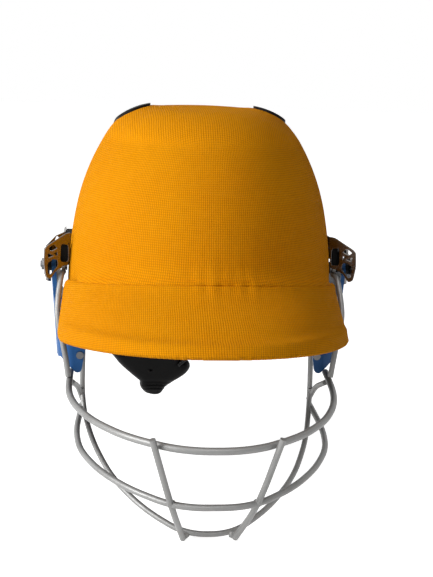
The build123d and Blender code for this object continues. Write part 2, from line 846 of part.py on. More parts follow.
# Side stay: a wire that ends in a flat eye on the bolt
stay_points = [(stay_start_side, -pivot_ahead - eye_radius + bolt_radius, pivot_level - eye_lean)]
stay_points += [(side, -ahead, level) for side, ahead, level in stay_places]
with BuildPart() as side_stay:
    add(wire(stay_points, stay_wire_radius).part)
    with BuildSketch(stack_plane(eye_start)):
        Circle(eye_radius)
    extrude(amount=eye_width)
    with BuildSketch(stack_plane(eye_start - eye_radius)):
        Circle(bolt_radius + running_clearance)
    extrude(amount=3 * eye_radius, mode=Mode.SUBTRACT)
    with BuildSketch(stack_plane(eye_start - eye_radius)):
        Circle(block_round + bolt_head_radius)
    extrude(amount=eye_radius, mode=Mode.SUBTRACT)
write_pair(side_stay, "side_stay")

# Ear guard: moulded wall that turns in ahead of the ear, cut to its side and front outlines
guard_middle = guard_start + guard_wall / 2
guard_height = guard_top_level - guard_low_level
guard_slope = guard_draw_in / guard_height
ear_reach = eye_radius - guard_ear_inset
with BuildPart() as ear_guard:
    with BuildSketch(Plane.XY.offset(guard_top_level)):
        with BuildLine():
            FilletPolyline(
                (guard_middle - guard_rear_draw, guard_rear), (guard_middle + guard_swell, -pivot_ahead),
                (guard_middle + guard_swell - guard_toe_in, -guard_front),
                (guard_inner_edge - guard_draw_in, -guard_front),
                radius=guard_bend,
            )
        trace(line_width=guard_wall)
    extrude(amount=guard_height, dir=(-guard_slope, 0, -1))
    with BuildSketch(side_plane(guard_inner_edge - 2 * guard_draw_in)):
        with BuildLine():
            top_edge = Polyline(
                (-guard_front - guard_wall, guard_notch_low), (-guard_notch_ahead, guard_notch_high),
                (-guard_notch_ahead, guard_shoulder), (-pivot_ahead - ear_reach, guard_shoulder),
            )
            ear_top = ThreePointArc(
                top_edge @ 1, (-pivot_ahead, pivot_level + ear_reach),
                (-pivot_ahead + ear_reach, guard_shoulder),
            )
            back = Spline(
                ear_top @ 1, *[(guard_rear * along, guard_height * up) for along, up in guard_side_shares],
                (-guard_front - guard_wall, guard_low_level),
            )
            Line(back @ 1, top_edge @ 0)
        make_face()
    extrude(amount=guard_middle, mode=Mode.INTERSECT)
    with BuildSketch(front_plane(guard_rear)):
        with BuildLine():
            Polyline(*[(guard_inner_edge + across * (guard_middle - guard_inner_edge), guard_height * up)
                       for across, up in guard_front_shares], close=True)
        make_face()
        fillet(vertices().group_by(Axis.Y)[0], guard_wall)
    extrude(amount=guard_rear + guard_front + guard_wall, mode=Mode.INTERSECT)
    with BuildSketch(side_plane(guard_inner_edge)):
        for row in range(guard_slot_count):
            with Locations((guard_slot_back, guard_slot_top - row * guard_slot_pitch)):
                SlotOverall(guard_slot_length, guard_slot_width)
    extrude(amount=guard_middle, mode=Mode.SUBTRACT)
    with BuildSketch(stack_plane(guard_start)):
        Circle(eye_radius)
    extrude(amount=guard_wall)
    with BuildSketch(stack_plane(guard_start - guard_wall)):
        Circle(eye_radius + guard_wall)
    extrude(amount=guard_wall, mode=Mode.SUBTRACT)
    with BuildSketch(stack_plane(guard_start + guard_wall)):
        Circle(eye_radius + guard_wall)
    extrude(amount=guard_wall, mode=Mode.SUBTRACT)
    with BuildSketch(stack_plane(guard_start - guard_wall)):
        Circle(bolt_radius + running_clearance)
    extrude(amount=3 * guard_wall, mode=Mode.SUBTRACT)
    with BuildSketch(front_plane(-guard_front + guard_wall)):
        with Locations((rivet_side, rivet_level)):
            Circle(rivet_radius + running_clearance)
    extrude(amount=3 * guard_wall, mode=Mode.SUBTRACT)
    with BuildSketch(front_plane(-guard_front)):
        with Locations((guard_rib_side, guard_rib_level + guard_rib_length / 2)):
            Rectangle(guard_rib_width, guard_rib_length)
    extrude(amount=guard_wall / 2 + guard_rib_height)
write_pair(ear_guard, "ear_guard")

# Rivet with its clip: ties the guard to the stay
with BuildPart() as guard_rivet:
    with BuildSketch(front_plane(-guard_front + guard_wall / 2 + layer_gap + rivet_head_height)):
        with Locations((rivet_side, rivet_level)):
            Circle(rivet_head_radius)
    extrude(amount=rivet_head_height)
    with BuildSketch(front_plane(-guard_front + guard_wall / 2 + layer_gap)):
        with Locations((rivet_side, rivet_level)):
            Circle(rivet_radius)
    extrude(amount=guard_wall + 2 * layer_gap)
    with BuildSketch(front_plane(-guard_front - guard_wall / 2 - layer_gap)):
        with Locations((rivet_side, rivet_level)):
            Circle(rivet_head_radius)
    extrude(amount=rivet_head_height)
write_pair(guard_rivet, "guard_rivet")


def strap_run(places):
    """Webbing seen from the front along its places, as wide as the strap from front to back."""
    with BuildPart() as webbing:
        with BuildSketch(front_plane(strap_back + strap_width / 2)):
            with BuildLine():
                FilletPolyline(*places, radius=strap_bend)
            trace(line_width=strap_thickness)
        extrude(amount=strap_width)
    return webbing


def pierced(webbing, side):
    """Webbing with the rivet's eyelet."""
    with BuildPart() as run:
        add(webbing.part)
        with BuildSketch(side_plane(side * strap_inner, strap_back, strap_rivet_level, side)):
            Circle(strap_rivet_radius + running_clearance)
        extrude(amount=2 * (strap_side - strap_inner), mode=Mode.SUBTRACT)
    return run


# Chin strap: webbing from rivet to cup, and from cup over the buckle to the other rivet
strap_inner = strap_side - strap_bend
cup_left_end = (-cup_side - cup_half_width + strap_meet, cup_level + cup_high)
strap_right = pierced(strap_run([
    (-strap_side, strap_tab_top), (-strap_side, strap_tab_low), (-strap_knee_side, strap_knee_level),
    cup_left_end,
]), -1)
write(strap_right, "strap_right")
strap_middle = strap_run([
    (-cup_side + cup_half_width + layer_gap, cup_level + cup_lobe_level), (strap_dip_side, strap_dip_level),
    (buckle_side - buckle_length / 2 - buckle_gap, buckle_level),
])
write(strap_middle, "strap_middle")
plug_end = buckle_side + buckle_length / 2 + buckle_gap + buckle_plug_length
strap_left = pierced(strap_run([
    (plug_end + buckle_gap, buckle_level), (strap_rise_side, buckle_level + strap_rise),
    (strap_side, strap_tab_low), (strap_side, strap_tab_top),
]), 1)
write(strap_left, "strap_left")
with BuildPart() as chin_cup:
    for inset, depth, mode in ((0, cup_depth, Mode.ADD), (cup_wall, cup_depth - cup_wall, Mode.SUBTRACT)):
        with BuildSketch(front_plane(strap_back + cup_back_depth)):
            with BuildLine():
                Polyline(
                    *[(-cup_side + cup_half_width * across, cup_level + cup_high * up)
                      for across, up in cup_shares],
                    close=True,
                )
            make_face()
            fillet(vertices(), cup_round)
            if inset > 0:
                offset(amount=-inset)
        extrude(amount=depth, taper=cup_draft, mode=mode)
write(chin_cup, "chin_cup")
with BuildPart() as buckle_socket:
    with BuildSketch(Plane.XY.offset(buckle_level - buckle_thickness / 2)):
        with Locations((buckle_side, strap_back)):
            RectangleRounded(buckle_length, buckle_width, buckle_round)
    extrude(amount=buckle_thickness)
    with BuildSketch(Plane.XY.offset(buckle_level - prong_thickness / 2 - prong_fit)):
        for shift in (-1, 1):
            prong_middle = buckle_side + (buckle_length - prong_length) / 2
            with Locations((prong_middle, strap_back + shift * buckle_window)):
                Rectangle(prong_length + 2 * prong_fit, prong_width + 2 * prong_fit)
    extrude(amount=prong_thickness + 2 * prong_fit, mode=Mode.SUBTRACT)
write(buckle_socket, "buckle_socket")
with BuildPart() as buckle_plug:
    with BuildSketch(Plane.XY.offset(buckle_level - buckle_thickness / 2)):
        with Locations((plug_end - buckle_plug_length / 2, strap_back)):
            RectangleRounded(buckle_plug_length, buckle_width, buckle_round)
    extrude(amount=buckle_thickness)
    with BuildSketch(Plane.XY.offset(buckle_level - prong_thickness / 2)):
        for shift in (-1, 1):
            with Locations((plug_end - buckle_plug_length + (buckle_round - prong_length) / 2,
                            strap_back + shift * buckle_window)):
                Rectangle(prong_length + buckle_round, prong_width)
    extrude(amount=prong_thickness)
write(buckle_plug, "buckle_plug")

# Rivets that hold the strap and let it swing
with BuildPart() as strap_rivets:
    for side in (-1, 1):
        head_side = strap_side - strap_thickness / 2 - strap_rivet_gap
        flat = side_plane(side * head_side, strap_back, strap_rivet_level, side)
        with BuildSketch(flat):
            Circle(strap_rivet_head_radius)
        extrude(amount=-strap_rivet_head_height)
        with BuildSketch(flat):
            Circle(strap_rivet_radius)
        extrude(amount=strap_rivet_end - head_side)
write(strap_rivets, "strap_rivets")

# Nape cradle: a band with two arms that slide in guides under the liner
with BuildPart() as nape_cradle:
    with BuildSketch(Plane.XY.offset(cradle_low)):
        with BuildLine():
            FilletPolyline(
                (-cradle_arm_side, cradle_arm_front), (-cradle_arm_side, cradle_arm_rear),
                (-cradle_turn_side, cradle_turn_rear), (cradle_turn_side, cradle_turn_rear),
                (cradle_arm_side, cradle_arm_rear), (cradle_arm_side, cradle_arm_front),
                radius=cradle_bend,
            )
        trace(line_width=cradle_wall)
    extrude(amount=cradle_high - cradle_low)
    with BuildSketch(front_plane(cradle_turn_rear + cradle_wall)):
        with BuildLine():
            Polyline(
                (-cradle_arm_side - cradle_wall, cradle_high),
                (-cradle_arm_side - cradle_wall, cradle_arm_low),
                (-cradle_shoulder_half, cradle_arm_low), (-cradle_middle_half, cradle_low),
                (cradle_middle_half, cradle_low), (cradle_shoulder_half, cradle_arm_low),
                (cradle_arm_side + cradle_wall, cradle_arm_low), (cradle_arm_side + cradle_wall, cradle_high),
                close=True,
            )
        make_face()
        fillet(vertices().group_by(Axis.Y)[0], cradle_round)
    extrude(amount=cradle_turn_rear, mode=Mode.INTERSECT)
    with BuildSketch(front_plane(cradle_turn_rear + cradle_wall)):
        with Locations((0, (cradle_window_high + cradle_window_low) / 2)):
            SlotOverall(2 * cradle_window_half, cradle_window_high - cradle_window_low)
    extrude(amount=3 * cradle_wall, mode=Mode.SUBTRACT)
    with BuildSketch(front_plane(cradle_turn_rear)):
        with Locations((0, dial_level)):
            Circle(housing_radius)
    extrude(amount=-housing_depth)
    with BuildSketch(front_plane(cradle_turn_rear + housing_depth)):
        with Locations((0, dial_level)):
            Circle(dial_pin_radius + running_clearance)
    extrude(amount=housing_depth, mode=Mode.SUBTRACT)
write(nape_cradle, "nape_cradle")
with BuildPart() as fit_dial:
    with BuildSketch(front_plane(cradle_turn_rear + housing_depth + dial_gap)):
        with Locations((0, dial_level)):
            Circle(dial_radius)
            with PolarLocations(dial_radius, dial_grip_count):
                Circle(dial_grip_radius, mode=Mode.SUBTRACT)
    extrude(amount=-dial_width)
    with BuildSketch(front_plane(cradle_turn_rear + dial_gap + housing_depth)):
        with Locations((0, dial_level)):
            Circle(dial_pin_radius)
    extrude(amount=housing_depth)
write(fit_dial, "fit_dial")
with BuildPart() as cradle_pad:
    with BuildSketch(front_plane(cradle_turn_rear - cradle_wall / 2 - layer_gap)):
        with Locations((0, dial_level)):
            RectangleRounded(2 * cradle_pad_half, 2 * cradle_pad_high, cradle_pad_edge)
    extrude(amount=cradle_pad_depth, taper=cradle_pad_draft)
    fillet(faces().sort_by(Axis.Y)[0].edges(), cradle_pad_edge)
write(cradle_pad, "cradle_pad")

# Guides under the liner for the cradle's arms
with BuildPart() as arm_guide:
    slot_width = cradle_wall + 2 * guide_fit
    slot_height = cradle_high - cradle_arm_low + 2 * guide_fit
    guide_low = cradle_arm_low - guide_fit - guide_wall
    guide_inner = slot_width / 2 + guide_wall
    with BuildSketch(front_plane(guide_rear)):
        with Locations((cradle_arm_side + (guide_flange - guide_inner) / 2, guide_low + slot_height)):
            Rectangle(guide_flange + guide_inner, 2 * slot_height)
        with Locations((cradle_arm_side, (cradle_high + cradle_arm_low) / 2)):
            Rectangle(slot_width, slot_height, mode=Mode.SUBTRACT)
    extrude(amount=guide_rear - guide_front)
    add(below_rim(layer_gap - liner_rim_rise), mode=Mode.INTERSECT)
write_pair(arm_guide, "arm_guide")
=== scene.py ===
import json
import math

import bmesh
import bpy
import numpy as np
from mathutils import Matrix, Vector, kdtree
from mathutils.bvhtree import BVHTree


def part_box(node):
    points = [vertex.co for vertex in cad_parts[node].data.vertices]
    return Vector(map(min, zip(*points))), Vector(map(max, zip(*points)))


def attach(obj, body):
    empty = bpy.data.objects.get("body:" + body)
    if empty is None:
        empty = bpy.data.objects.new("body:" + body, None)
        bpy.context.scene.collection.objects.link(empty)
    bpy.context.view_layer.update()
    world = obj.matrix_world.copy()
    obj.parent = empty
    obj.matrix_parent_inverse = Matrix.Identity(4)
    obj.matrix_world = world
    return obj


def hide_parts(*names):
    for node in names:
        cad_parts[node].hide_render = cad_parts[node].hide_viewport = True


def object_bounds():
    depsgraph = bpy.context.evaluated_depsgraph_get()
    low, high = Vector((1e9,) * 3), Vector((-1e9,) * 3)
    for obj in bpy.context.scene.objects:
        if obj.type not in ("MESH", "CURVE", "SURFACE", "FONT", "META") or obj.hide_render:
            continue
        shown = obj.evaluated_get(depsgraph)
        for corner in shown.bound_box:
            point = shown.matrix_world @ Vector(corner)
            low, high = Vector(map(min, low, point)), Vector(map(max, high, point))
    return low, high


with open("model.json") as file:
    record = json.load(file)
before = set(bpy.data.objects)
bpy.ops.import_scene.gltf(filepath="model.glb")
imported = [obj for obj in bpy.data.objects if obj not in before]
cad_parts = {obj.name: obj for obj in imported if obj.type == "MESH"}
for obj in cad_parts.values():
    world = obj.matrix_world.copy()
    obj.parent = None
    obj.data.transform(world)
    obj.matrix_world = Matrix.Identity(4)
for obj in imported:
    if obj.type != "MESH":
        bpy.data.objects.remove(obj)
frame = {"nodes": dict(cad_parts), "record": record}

# Lengths are in millimetres until new_object makes metres of them. The front of the helmet looks along -Y,
# and the wearer's left is at +X.
cad_low, cad_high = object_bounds()
mm = 0.001
scene = bpy.context.scene

# Dome of the shell, as the part has it
half_width = 101.3
crown_height = 138.3
skirt_depth = 72.0
length_share = 1.23
skirt_draw_share = 0.96
profile_shares = ((0.357, 0.990), (0.738, 0.818), (0.937, 0.445), (1.000, 0.000))
rim_drop = 55.0
rim_shares = (
    (-1.08, 0.25), (-0.76, 0.18), (-0.48, -0.04), (-0.32, -0.25), (-0.12, -0.55),
    (0.16, -0.65), (0.48, -0.76), (0.80, -0.95), (1.08, -1.00),
)
half_length = half_width * length_share
arc_steps = 60
profile_steps = 400

# Peak, as the part has it
peak_top_level = 32.0
peak_drop = 64.0
peak_low_half_width = 114.0
peak_low_reach = 230.0
peak_flare_shares = ((0, 0, 0), (0.16, 0.01, 0.05), (0.38, 0.09, 0.29), (0.625, 0.34, 0.59), (1, 1, 1))
peak_wall_shares = ((0.53, 0.75), (0.57, 1.65), (0.90, 2.60), (1.00, 2.85), (1.10, 2.95))
peak_wall = 3.0
seam_height = 2.0
seam_rise_share = 0.194
seam_rear = 20.0
peak_corner_ahead = 67.0
peak_corner_drop = 27.0
peak_edge_rise_share = 0.16
peak_root_side = half_width + 0.3
peak_root_ahead = half_length - 0.2

# Fabric
weave_pitch = 1.6
fabric_thickness = 0.9
peak_fabric_thickness = 0.7


def spline_through(xs, ys, at):
    """Smooth curve through the places, with the slopes of its neighbours."""
    xs = np.asarray(xs, float)
    ys = np.asarray(ys, float)
    slopes = np.gradient(ys, xs)
    at = np.asarray(at, float)
    place = np.clip(np.searchsorted(xs, at) - 1, 0, len(xs) - 2)
    step = xs[place + 1] - xs[place]
    t = (at - xs[place]) / step
    return ((2 * t**3 - 3 * t**2 + 1) * ys[place] + (t**3 - 2 * t**2 + t) * step * slopes[place]
            + (-2 * t**3 + 3 * t**2) * ys[place + 1] + (t**3 - t**2) * step * slopes[place + 1])


def smoothstep(low, high, value):
    """Zero below low, one above high, with a smooth rise between."""
    t = np.clip((value - low) / (high - low), 0, 1)
    return t * t * (3 - 2 * t)


def hump(value, height, middle, spread):
    """A rise of this height about the middle, which dies away over the spread."""
    return height * np.exp(-((value - middle) / spread) ** 2)


def lengths_along(line):
    """Length along a line up to each of its places."""
    return np.concatenate([[0], np.cumsum(np.linalg.norm(np.diff(line, axis=0), axis=1))])


def evenly(line, count):
    """Places evenly spaced along a line, with the length along it at each."""
    along = lengths_along(line)
    even = np.linspace(0, along[-1], count)
    return np.stack([np.interp(even, along, line[:, k]) for k in range(line.shape[1])], 1), even


def rim_level(back):
    """Height of the shell's rim at a distance behind the middle."""
    shares = np.array(rim_shares)
    return spline_through(shares[:, 0] * half_length, shares[:, 1] * rim_drop, back)


def dome_profile(inset):
    """Evenly spaced places (out, up) from the crown to the skirt's edge, with the length along them."""
    wide = half_width - inset
    high = crown_height - inset
    here = np.array((0.0, high))
    heading = np.array((1.0, 0.0))
    line = [here[None]]
    for out, up in profile_shares:
        there = np.array((wide * out, high * up))
        chord = there - here
        half_turn = math.atan2(heading[0] * chord[1] - heading[1] * chord[0], float(heading @ chord))
        radius = np.hypot(*chord) / (2 * math.sin(half_turn))
        centre = here + radius * np.array((-heading[1], heading[0]))
        start = math.atan2(*(here - centre)[::-1])
        angles = start + np.linspace(0, 2 * half_turn, arc_steps)[1:]
        line.append(centre + abs(radius) * np.stack([np.cos(angles), np.sin(angles)], 1))
        turn = 2 * half_turn
        heading = np.array((math.cos(turn) * heading[0] - math.sin(turn) * heading[1],
                            math.sin(turn) * heading[0] + math.cos(turn) * heading[1]))
        here = there
    line.append(np.linspace(here, (wide * skirt_draw_share, -skirt_depth), arc_steps)[1:])
    places, along = evenly(np.concatenate(line), profile_steps)
    return places[:, 0], places[:, 1], along


def linked(name, data):
    """Object with this data, put into the scene."""
    obj = bpy.data.objects.new(name, data)
    scene.collection.objects.link(obj)
    return obj


def new_object(name, vertices, faces, uvs=None, smooth=True):
    """Mesh object from places in millimetres; uvs has one pair for each vertex."""
    mesh = bpy.data.meshes.new(name)
    vertices = np.asarray(vertices, float).reshape(-1, 3) * mm
    mesh.from_pydata([tuple(v) for v in vertices], [], [tuple(f) for f in faces])
    mesh.validate()
    corner = np.zeros(len(mesh.loops), np.int32)
    mesh.loops.foreach_get("vertex_index", corner)
    for uv_name, pairs in (uvs or {}).items():
        layer = mesh.uv_layers.new(name=uv_name)
        layer.data.foreach_set("uv", np.asarray(pairs, float).reshape(-1, 2)[corner].ravel())
    mesh.shade_smooth() if smooth else mesh.shade_flat()
    mesh.update()
    return linked(name, mesh)


def from_bmesh(name, solid, smooth=True):
    """Mesh object from a bmesh in millimetres."""
    solid.verts.index_update()
    places = [tuple(vertex.co) for vertex in solid.verts]
    faces = [tuple(vertex.index for vertex in face.verts) for face in solid.faces]
    solid.free()
    return new_object(name, places, faces, smooth=smooth)


def grid_faces(rows, cols, base=0, around=False):
    """Faces of a grid of rows by cols vertices."""
    faces = []
    for r in range(rows - 1):
        here, there = base + r * cols, base + (r + 1) * cols
        for c in range(cols if around else cols - 1):
            d = (c + 1) % cols
            faces.append((here + c, there + c, there + d, here + d))
    return faces


def thicken(obj, thickness, offset=-1.0, even=True):
    """Give a sheet its thickness."""
    solid = obj.modifiers.new("thickness", "SOLIDIFY")
    solid.thickness = thickness * mm
    solid.offset = offset
    solid.use_even_offset = even
    return obj


# Vents, as the part has them, and how the cover meets them

vent_side = 55.0
vent_back = 30.0
vent_length = 74.0
vent_width = 25.0
vent_lean = math.radians(9.0)
vent_floor = 60.0
vent_overlap = 2.2
vent_rise = 1.0
vent_ease = 7.0
far_from_vents = 99.0


def vent_reach(x, y, z):
    """Distance of a place from the nearer vent's outline in the squeezed plan, below zero inside."""
    if z <= vent_floor:
        return far_from_vents
    side = abs(x) - vent_side
    back = (y - vent_back) / length_share
    along = side * math.sin(vent_lean) + back * math.cos(vent_lean)
    across = side * math.cos(vent_lean) - back * math.sin(vent_lean)
    straight = (vent_length / length_share - vent_width) / 2
    return math.hypot(max(abs(along) - straight, 0), across) - vent_width / 2


# Crown cover: places on the dome from the crown to the seam or the rim. Rises like the ridge beside the
# seam are given by their height, their middle and their spread.

crown_columns = 288
crown_rows = 120
row_crowding = 0.96
cover_sag = 0.05
cover_swell = 0.12
swell_start = 60.0
swell_rates = (3, 0.012, 0.021)
rim_gap = 1.0
seam_end_ahead = 45.0
seam_fade = 0.16
below_seam = 0.6
skin_margin = 30.0
sweep_length = 13.0
seam_dip = 0.9
crown_dip_width = 1.6
crown_ridge = (0.20, 2.6, 1.2)
pucker_count = 9
pucker_height = 0.16
pucker_least = 0.35
pucker_middle = (1.1, 0.05, 0.22)
pucker_fade = 9.0
turns = np.linspace(-math.pi, math.pi, crown_columns)
profile_out, profile_up, profile_along = dome_profile(0)
peak_skin = BVHTree.FromObject(frame["nodes"]["peak_cover"], bpy.context.evaluated_depsgraph_get())


def seam_level(back):
    """Height of the seam at a distance behind the middle."""
    return seam_height - seam_rise_share * back


def on_profile(along):
    """Place (out, up) on the dome's profile."""
    return np.interp(along, profile_along, profile_out), np.interp(along, profile_along, profile_up)


def dome_place(turn, along, lift=0.0):
    """Place on the dome at a turn from the front and a length down from the crown, lifted off the surface."""
    out, up = on_profile(along)
    (out_after, up_after), (out_before, up_before) = on_profile(along + 0.5), on_profile(along - 0.5)
    ahead, down = out_after - out_before, up_after - up_before
    size = np.hypot(ahead, down) + 1e-9
    out = out - lift * down / size
    return np.stack([out * np.sin(turn), -length_share * out * np.cos(turn), up + lift * ahead / size], -1)


def boundary_along(turn):
    """Length down from the crown at which the crown's fabric ends."""
    back = -length_share * profile_out * np.cos(turn)
    at_peak = half_length * math.cos(turn) > seam_end_ahead
    line = seam_level(back) if at_peak else rim_level(back) + rim_gap
    below = np.nonzero(profile_up < line)[0]
    return profile_along[below[0]] if len(below) else profile_along[-1]


def on_skin(x, y, level):
    """The same place moved in or out to the part's own peak skin, where the skin has that place."""
    size = math.hypot(x, y)
    away = Vector((x / size, y / size, 0))
    start = away * (size + skin_margin) * mm + Vector((0, 0, level * mm))
    hit = peak_skin.ray_cast(start, -away, 2 * skin_margin * mm)[0]
    return (x, y) if hit is None else (hit.x / mm, hit.y / mm)


def step_at(turn, along):
    """How far the peak's skin stands outside the dome just below the seam."""
    x, y, level = dome_place(turn, along)
    return max(0.0, math.hypot(*on_skin(x, y, level - below_seam)) - math.hypot(x, y))


ends = np.array([boundary_along(turn) for turn in turns])
front = smoothstep(0, seam_fade, math.acos(seam_end_ahead / half_length) - np.abs(turns))
steps = np.array([step_at(turn, end) * share if share > 0 else 0.0
                  for turn, end, share in zip(turns, ends, front)])


def crown_place(turn, along, distance, lift):
    """Place on the crown's fabric, which sweeps out over its last stretch to meet the peak."""
    places = dome_place(turn, along, lift)
    ease = np.clip(1 - distance / sweep_length, 0, 1) ** 2
    size = np.hypot(places[..., 0], places[..., 1]) + 1e-9
    grow = 1 + np.interp(turn, turns, steps) * ease / size
    return places * np.stack([grow, grow, np.ones_like(grow)], -1)


draws = np.random.default_rng(3)
pucker_terms = [(draws.uniform(16, 70), draws.uniform(0, 6.28), draws.uniform(0.4, 1.0))
                for _ in range(pucker_count)]


def puckers(turn, distance):
    """Small folds that run out from the seam and die away, deepest near the middle."""
    total = sum(size * np.sin(rate * turn + shift) for rate, shift, size in pucker_terms)
    strength = pucker_height * (pucker_least + hump(turn, *pucker_middle))
    return strength * total * np.exp(-distance / pucker_fade)


def crown_cover():
    """Fabric of the crown, open over the vents."""
    turn = np.repeat(turns[None], crown_rows, 0)
    along = np.linspace(0, 1, crown_rows)[:, None] ** row_crowding * ends[None]
    distance = ends[None] - along
    round_rate, drift, down_rate = swell_rates
    swell = np.sin(round_rate * turn + drift * along) * np.sin(down_rate * along)
    swell = swell * smoothstep(0, swell_start, along)
    fold = puckers(turn, distance) - seam_dip * (1 - smoothstep(0, crown_dip_width, distance))
    lift = cover_swell * swell - cover_sag + front[None] * (fold + hump(distance, *crown_ridge))
    reach = [vent_reach(*place) for place in dome_place(turn, along).reshape(-1, 3)]
    lift = lift + hump(np.maximum(reach, 0), vent_rise, 0, vent_ease).reshape(turn.shape)
    places = crown_place(turn, along, distance, lift)
    arc = lengths_along(np.stack([half_width * np.sin(turns), half_length * np.cos(turns)], 1))
    cells = round(arc[-1] / weave_pitch)
    wrap = np.stack([np.repeat((arc / arc[-1] * cells)[None], crown_rows, 0), along / weave_pitch], -1)
    spots = places.reshape(-1, 3)
    faces = [face for face in grid_faces(crown_rows, crown_columns)
             if vent_reach(*spots[list(face)].mean(0)) >= -vent_overlap]
    obj = new_object("crown_fabric", places, faces, {"wrap": wrap, "plan": places[..., :2] / weave_pitch})
    return thicken(obj, fabric_thickness)


# Peak cover: places on the flared skirt between its edges and the seam

peak_columns = 260
peak_last_turn = 1.395
peak_levels = np.linspace(-34, 31, 260)
outer_rows = 46
under_rows = 12
peak_skin_out = 0.9
peak_least = 0.5
peak_plan = (108.0, 160.0)
seam_tuck = 0.9
front_dip = 1.5
peak_dip_width = 2.6
peak_ridge = (0.20, 4.0, 1.2)
front_roll = (2.4, 9.6, 6.2)
side_roll = (0.30, 3.0, 2.2)
roll_ahead = (62, 84)
low_line_blend = 5.0
hem_gap = 0.6
hem_overrun = 1.08
hem_rise = 7.6
hem_inset = (1.9, 2.4)
hem_row = 1.6


def peak_half_and_reach(level, grow):
    """Half width and reach of the peak's outer skin at a height."""
    down, side, ahead = np.array(peak_flare_shares).T
    at = (peak_top_level - level) / peak_drop
    half = peak_root_side + spline_through(down, side, at) * (peak_low_half_width - peak_root_side) + grow
    reach = peak_root_ahead + spline_through(down, ahead, at) * (peak_low_reach - peak_root_ahead) + grow
    return half, reach


def peak_wall_at(level):
    """Thickness of the peak's wall towards the side and towards the front at a height."""
    at = (peak_top_level - level) / peak_drop
    down = np.array(peak_flare_shares)[:, 0]
    return [np.interp(at, down, walls) * peak_wall for walls in np.array(peak_wall_shares).T]


def peak_low_line(back):
    """Lower boundary of the peak in the side view."""
    edge = -peak_corner_drop + peak_edge_rise_share * (-back - peak_corner_ahead)
    rise = (seam_level(-seam_rear) + peak_corner_drop) / (peak_corner_ahead - seam_rear)
    rear = -peak_corner_drop + rise * (back + peak_corner_ahead)
    return np.maximum(edge, rear) + low_line_blend * np.log1p(np.exp(-np.abs(edge - rear) / low_line_blend))


def first_above(line, otherwise):
    """Lowest of the peak's levels above a line, or the level with the other index if none is."""
    above = np.nonzero(peak_levels > line)[0]
    return peak_levels[above[0] if len(above) else otherwise]


def peak_outside(turn, half, reach):
    """Fabric outside the peak at a turn, from the seam down, with the lengths along it and both levels."""
    x = half * math.sin(turn)
    y = -reach * math.cos(turn)
    high = first_above(seam_level(y), -1)
    low = min(first_above(peak_low_line(y), 0), high - peak_least)
    levels = np.linspace(high + seam_tuck, low, outer_rows)
    x = np.interp(levels, peak_levels, x)
    y = np.interp(levels, peak_levels, y)
    along = lengths_along(np.stack([x, y, levels], 1))
    apart = along + 1e-6 * np.arange(outer_rows)
    slope_out = np.gradient(np.hypot(x, y), apart)
    slope_up = np.gradient(levels, apart)
    outward = np.array((math.sin(turn) / peak_plan[0], -math.cos(turn) / peak_plan[1]))
    outward /= np.hypot(*outward)
    normal = np.stack([-slope_up * outward[0], -slope_up * outward[1], slope_out], -1)
    normal /= np.linalg.norm(normal, axis=1)[:, None] + 1e-9
    x, y = np.array([on_skin(*place) for place in zip(x, y, levels)]).T
    dip = seam_dip + front_dip * float(np.interp(turn, turns, front))
    lift = puckers(turn, along) - dip * (1 - smoothstep(0, peak_dip_width, along)) + hump(along, *peak_ridge)
    hem = along[-1] - along
    ahead_share = smoothstep(*roll_ahead, -y)
    lift = lift + ahead_share * hump(hem, *front_roll) + (1 - ahead_share) * hump(hem, *side_roll)
    return np.stack([x, y, levels], -1) + lift[:, None] * normal, along, low, high


def peak_underside(turn, half, reach, edge, low, high):
    """Fabric turned in below the wall's edge and up its inner side."""
    heading = np.array((math.sin(turn), -math.cos(turn)))
    inner = edge - np.append(peak_wall_at(low) * heading, 0)
    inner_low = float(peak_low_line(inner[1]))
    places = []
    for part in np.arange(1, under_rows + 1) / under_rows:
        if part <= 0.5:
            swing = 2 * part
            place = edge + (inner - edge) * swing * hem_overrun
            place[2] = min(place[2], float(peak_low_line(place[1]))) - math.sin(math.pi * swing) - hem_gap
        else:
            level = min(inner_low - hem_gap + hem_rise * (2 * part - 1), high)
            skin = np.array((np.interp(level, peak_levels, half), np.interp(level, peak_levels, reach)))
            place = np.append((skin - peak_wall_at(level) - hem_inset) * heading, level)
        places.append(place)
    return places


def peak_cover():
    """Fabric of the peak, from the seam round the hem to the inner side."""
    all_turns = np.linspace(-peak_last_turn, peak_last_turn, peak_columns)
    half, reach = peak_half_and_reach(peak_levels, peak_skin_out)
    arc = lengths_along(np.stack([peak_plan[0] * np.sin(all_turns), peak_plan[1] * np.cos(all_turns)], 1))
    places = np.zeros((outer_rows + under_rows, peak_columns, 3))
    wrap = np.zeros((outer_rows + under_rows, peak_columns, 2))
    for c, turn in enumerate(all_turns):
        outside, along, low, high = peak_outside(turn, half, reach)
        places[:outer_rows, c] = outside
        places[outer_rows:, c] = peak_underside(turn, half, reach, outside[-1], low, high)
        wrap[:, c, 0] = arc[c]
        wrap[:, c, 1] = np.append(along, along[-1] + hem_row * np.arange(1, under_rows + 1))
    faces = grid_faces(outer_rows + under_rows, peak_columns)
    uvs = {"wrap": wrap / weave_pitch, "plan": places[..., :2] / weave_pitch}
    return thicken(new_object("peak_fabric", places, faces, uvs), peak_fabric_thickness)


# Materials

white = (1, 1, 1, 1)
cover_bright = (0.91, 0.350, 0.0010, 1)
cover_deep = (0.87, 0.305, 0.0010, 1)
cover_gap = (0.42, 0.115, 0.001, 1)
cover_pale = (0.92, 0.40, 0.004, 1)
cover_speck = (0.05, 0.02, 0.004, 1)
cover_tint = (1.0, 0.62, 0.12, 1)
knit_drift = 1.3
knit_powers = (0.6, 0.35)
knit_strands = 6
strand_height = 0.18
top_from = 0.112
top_to = 0.121


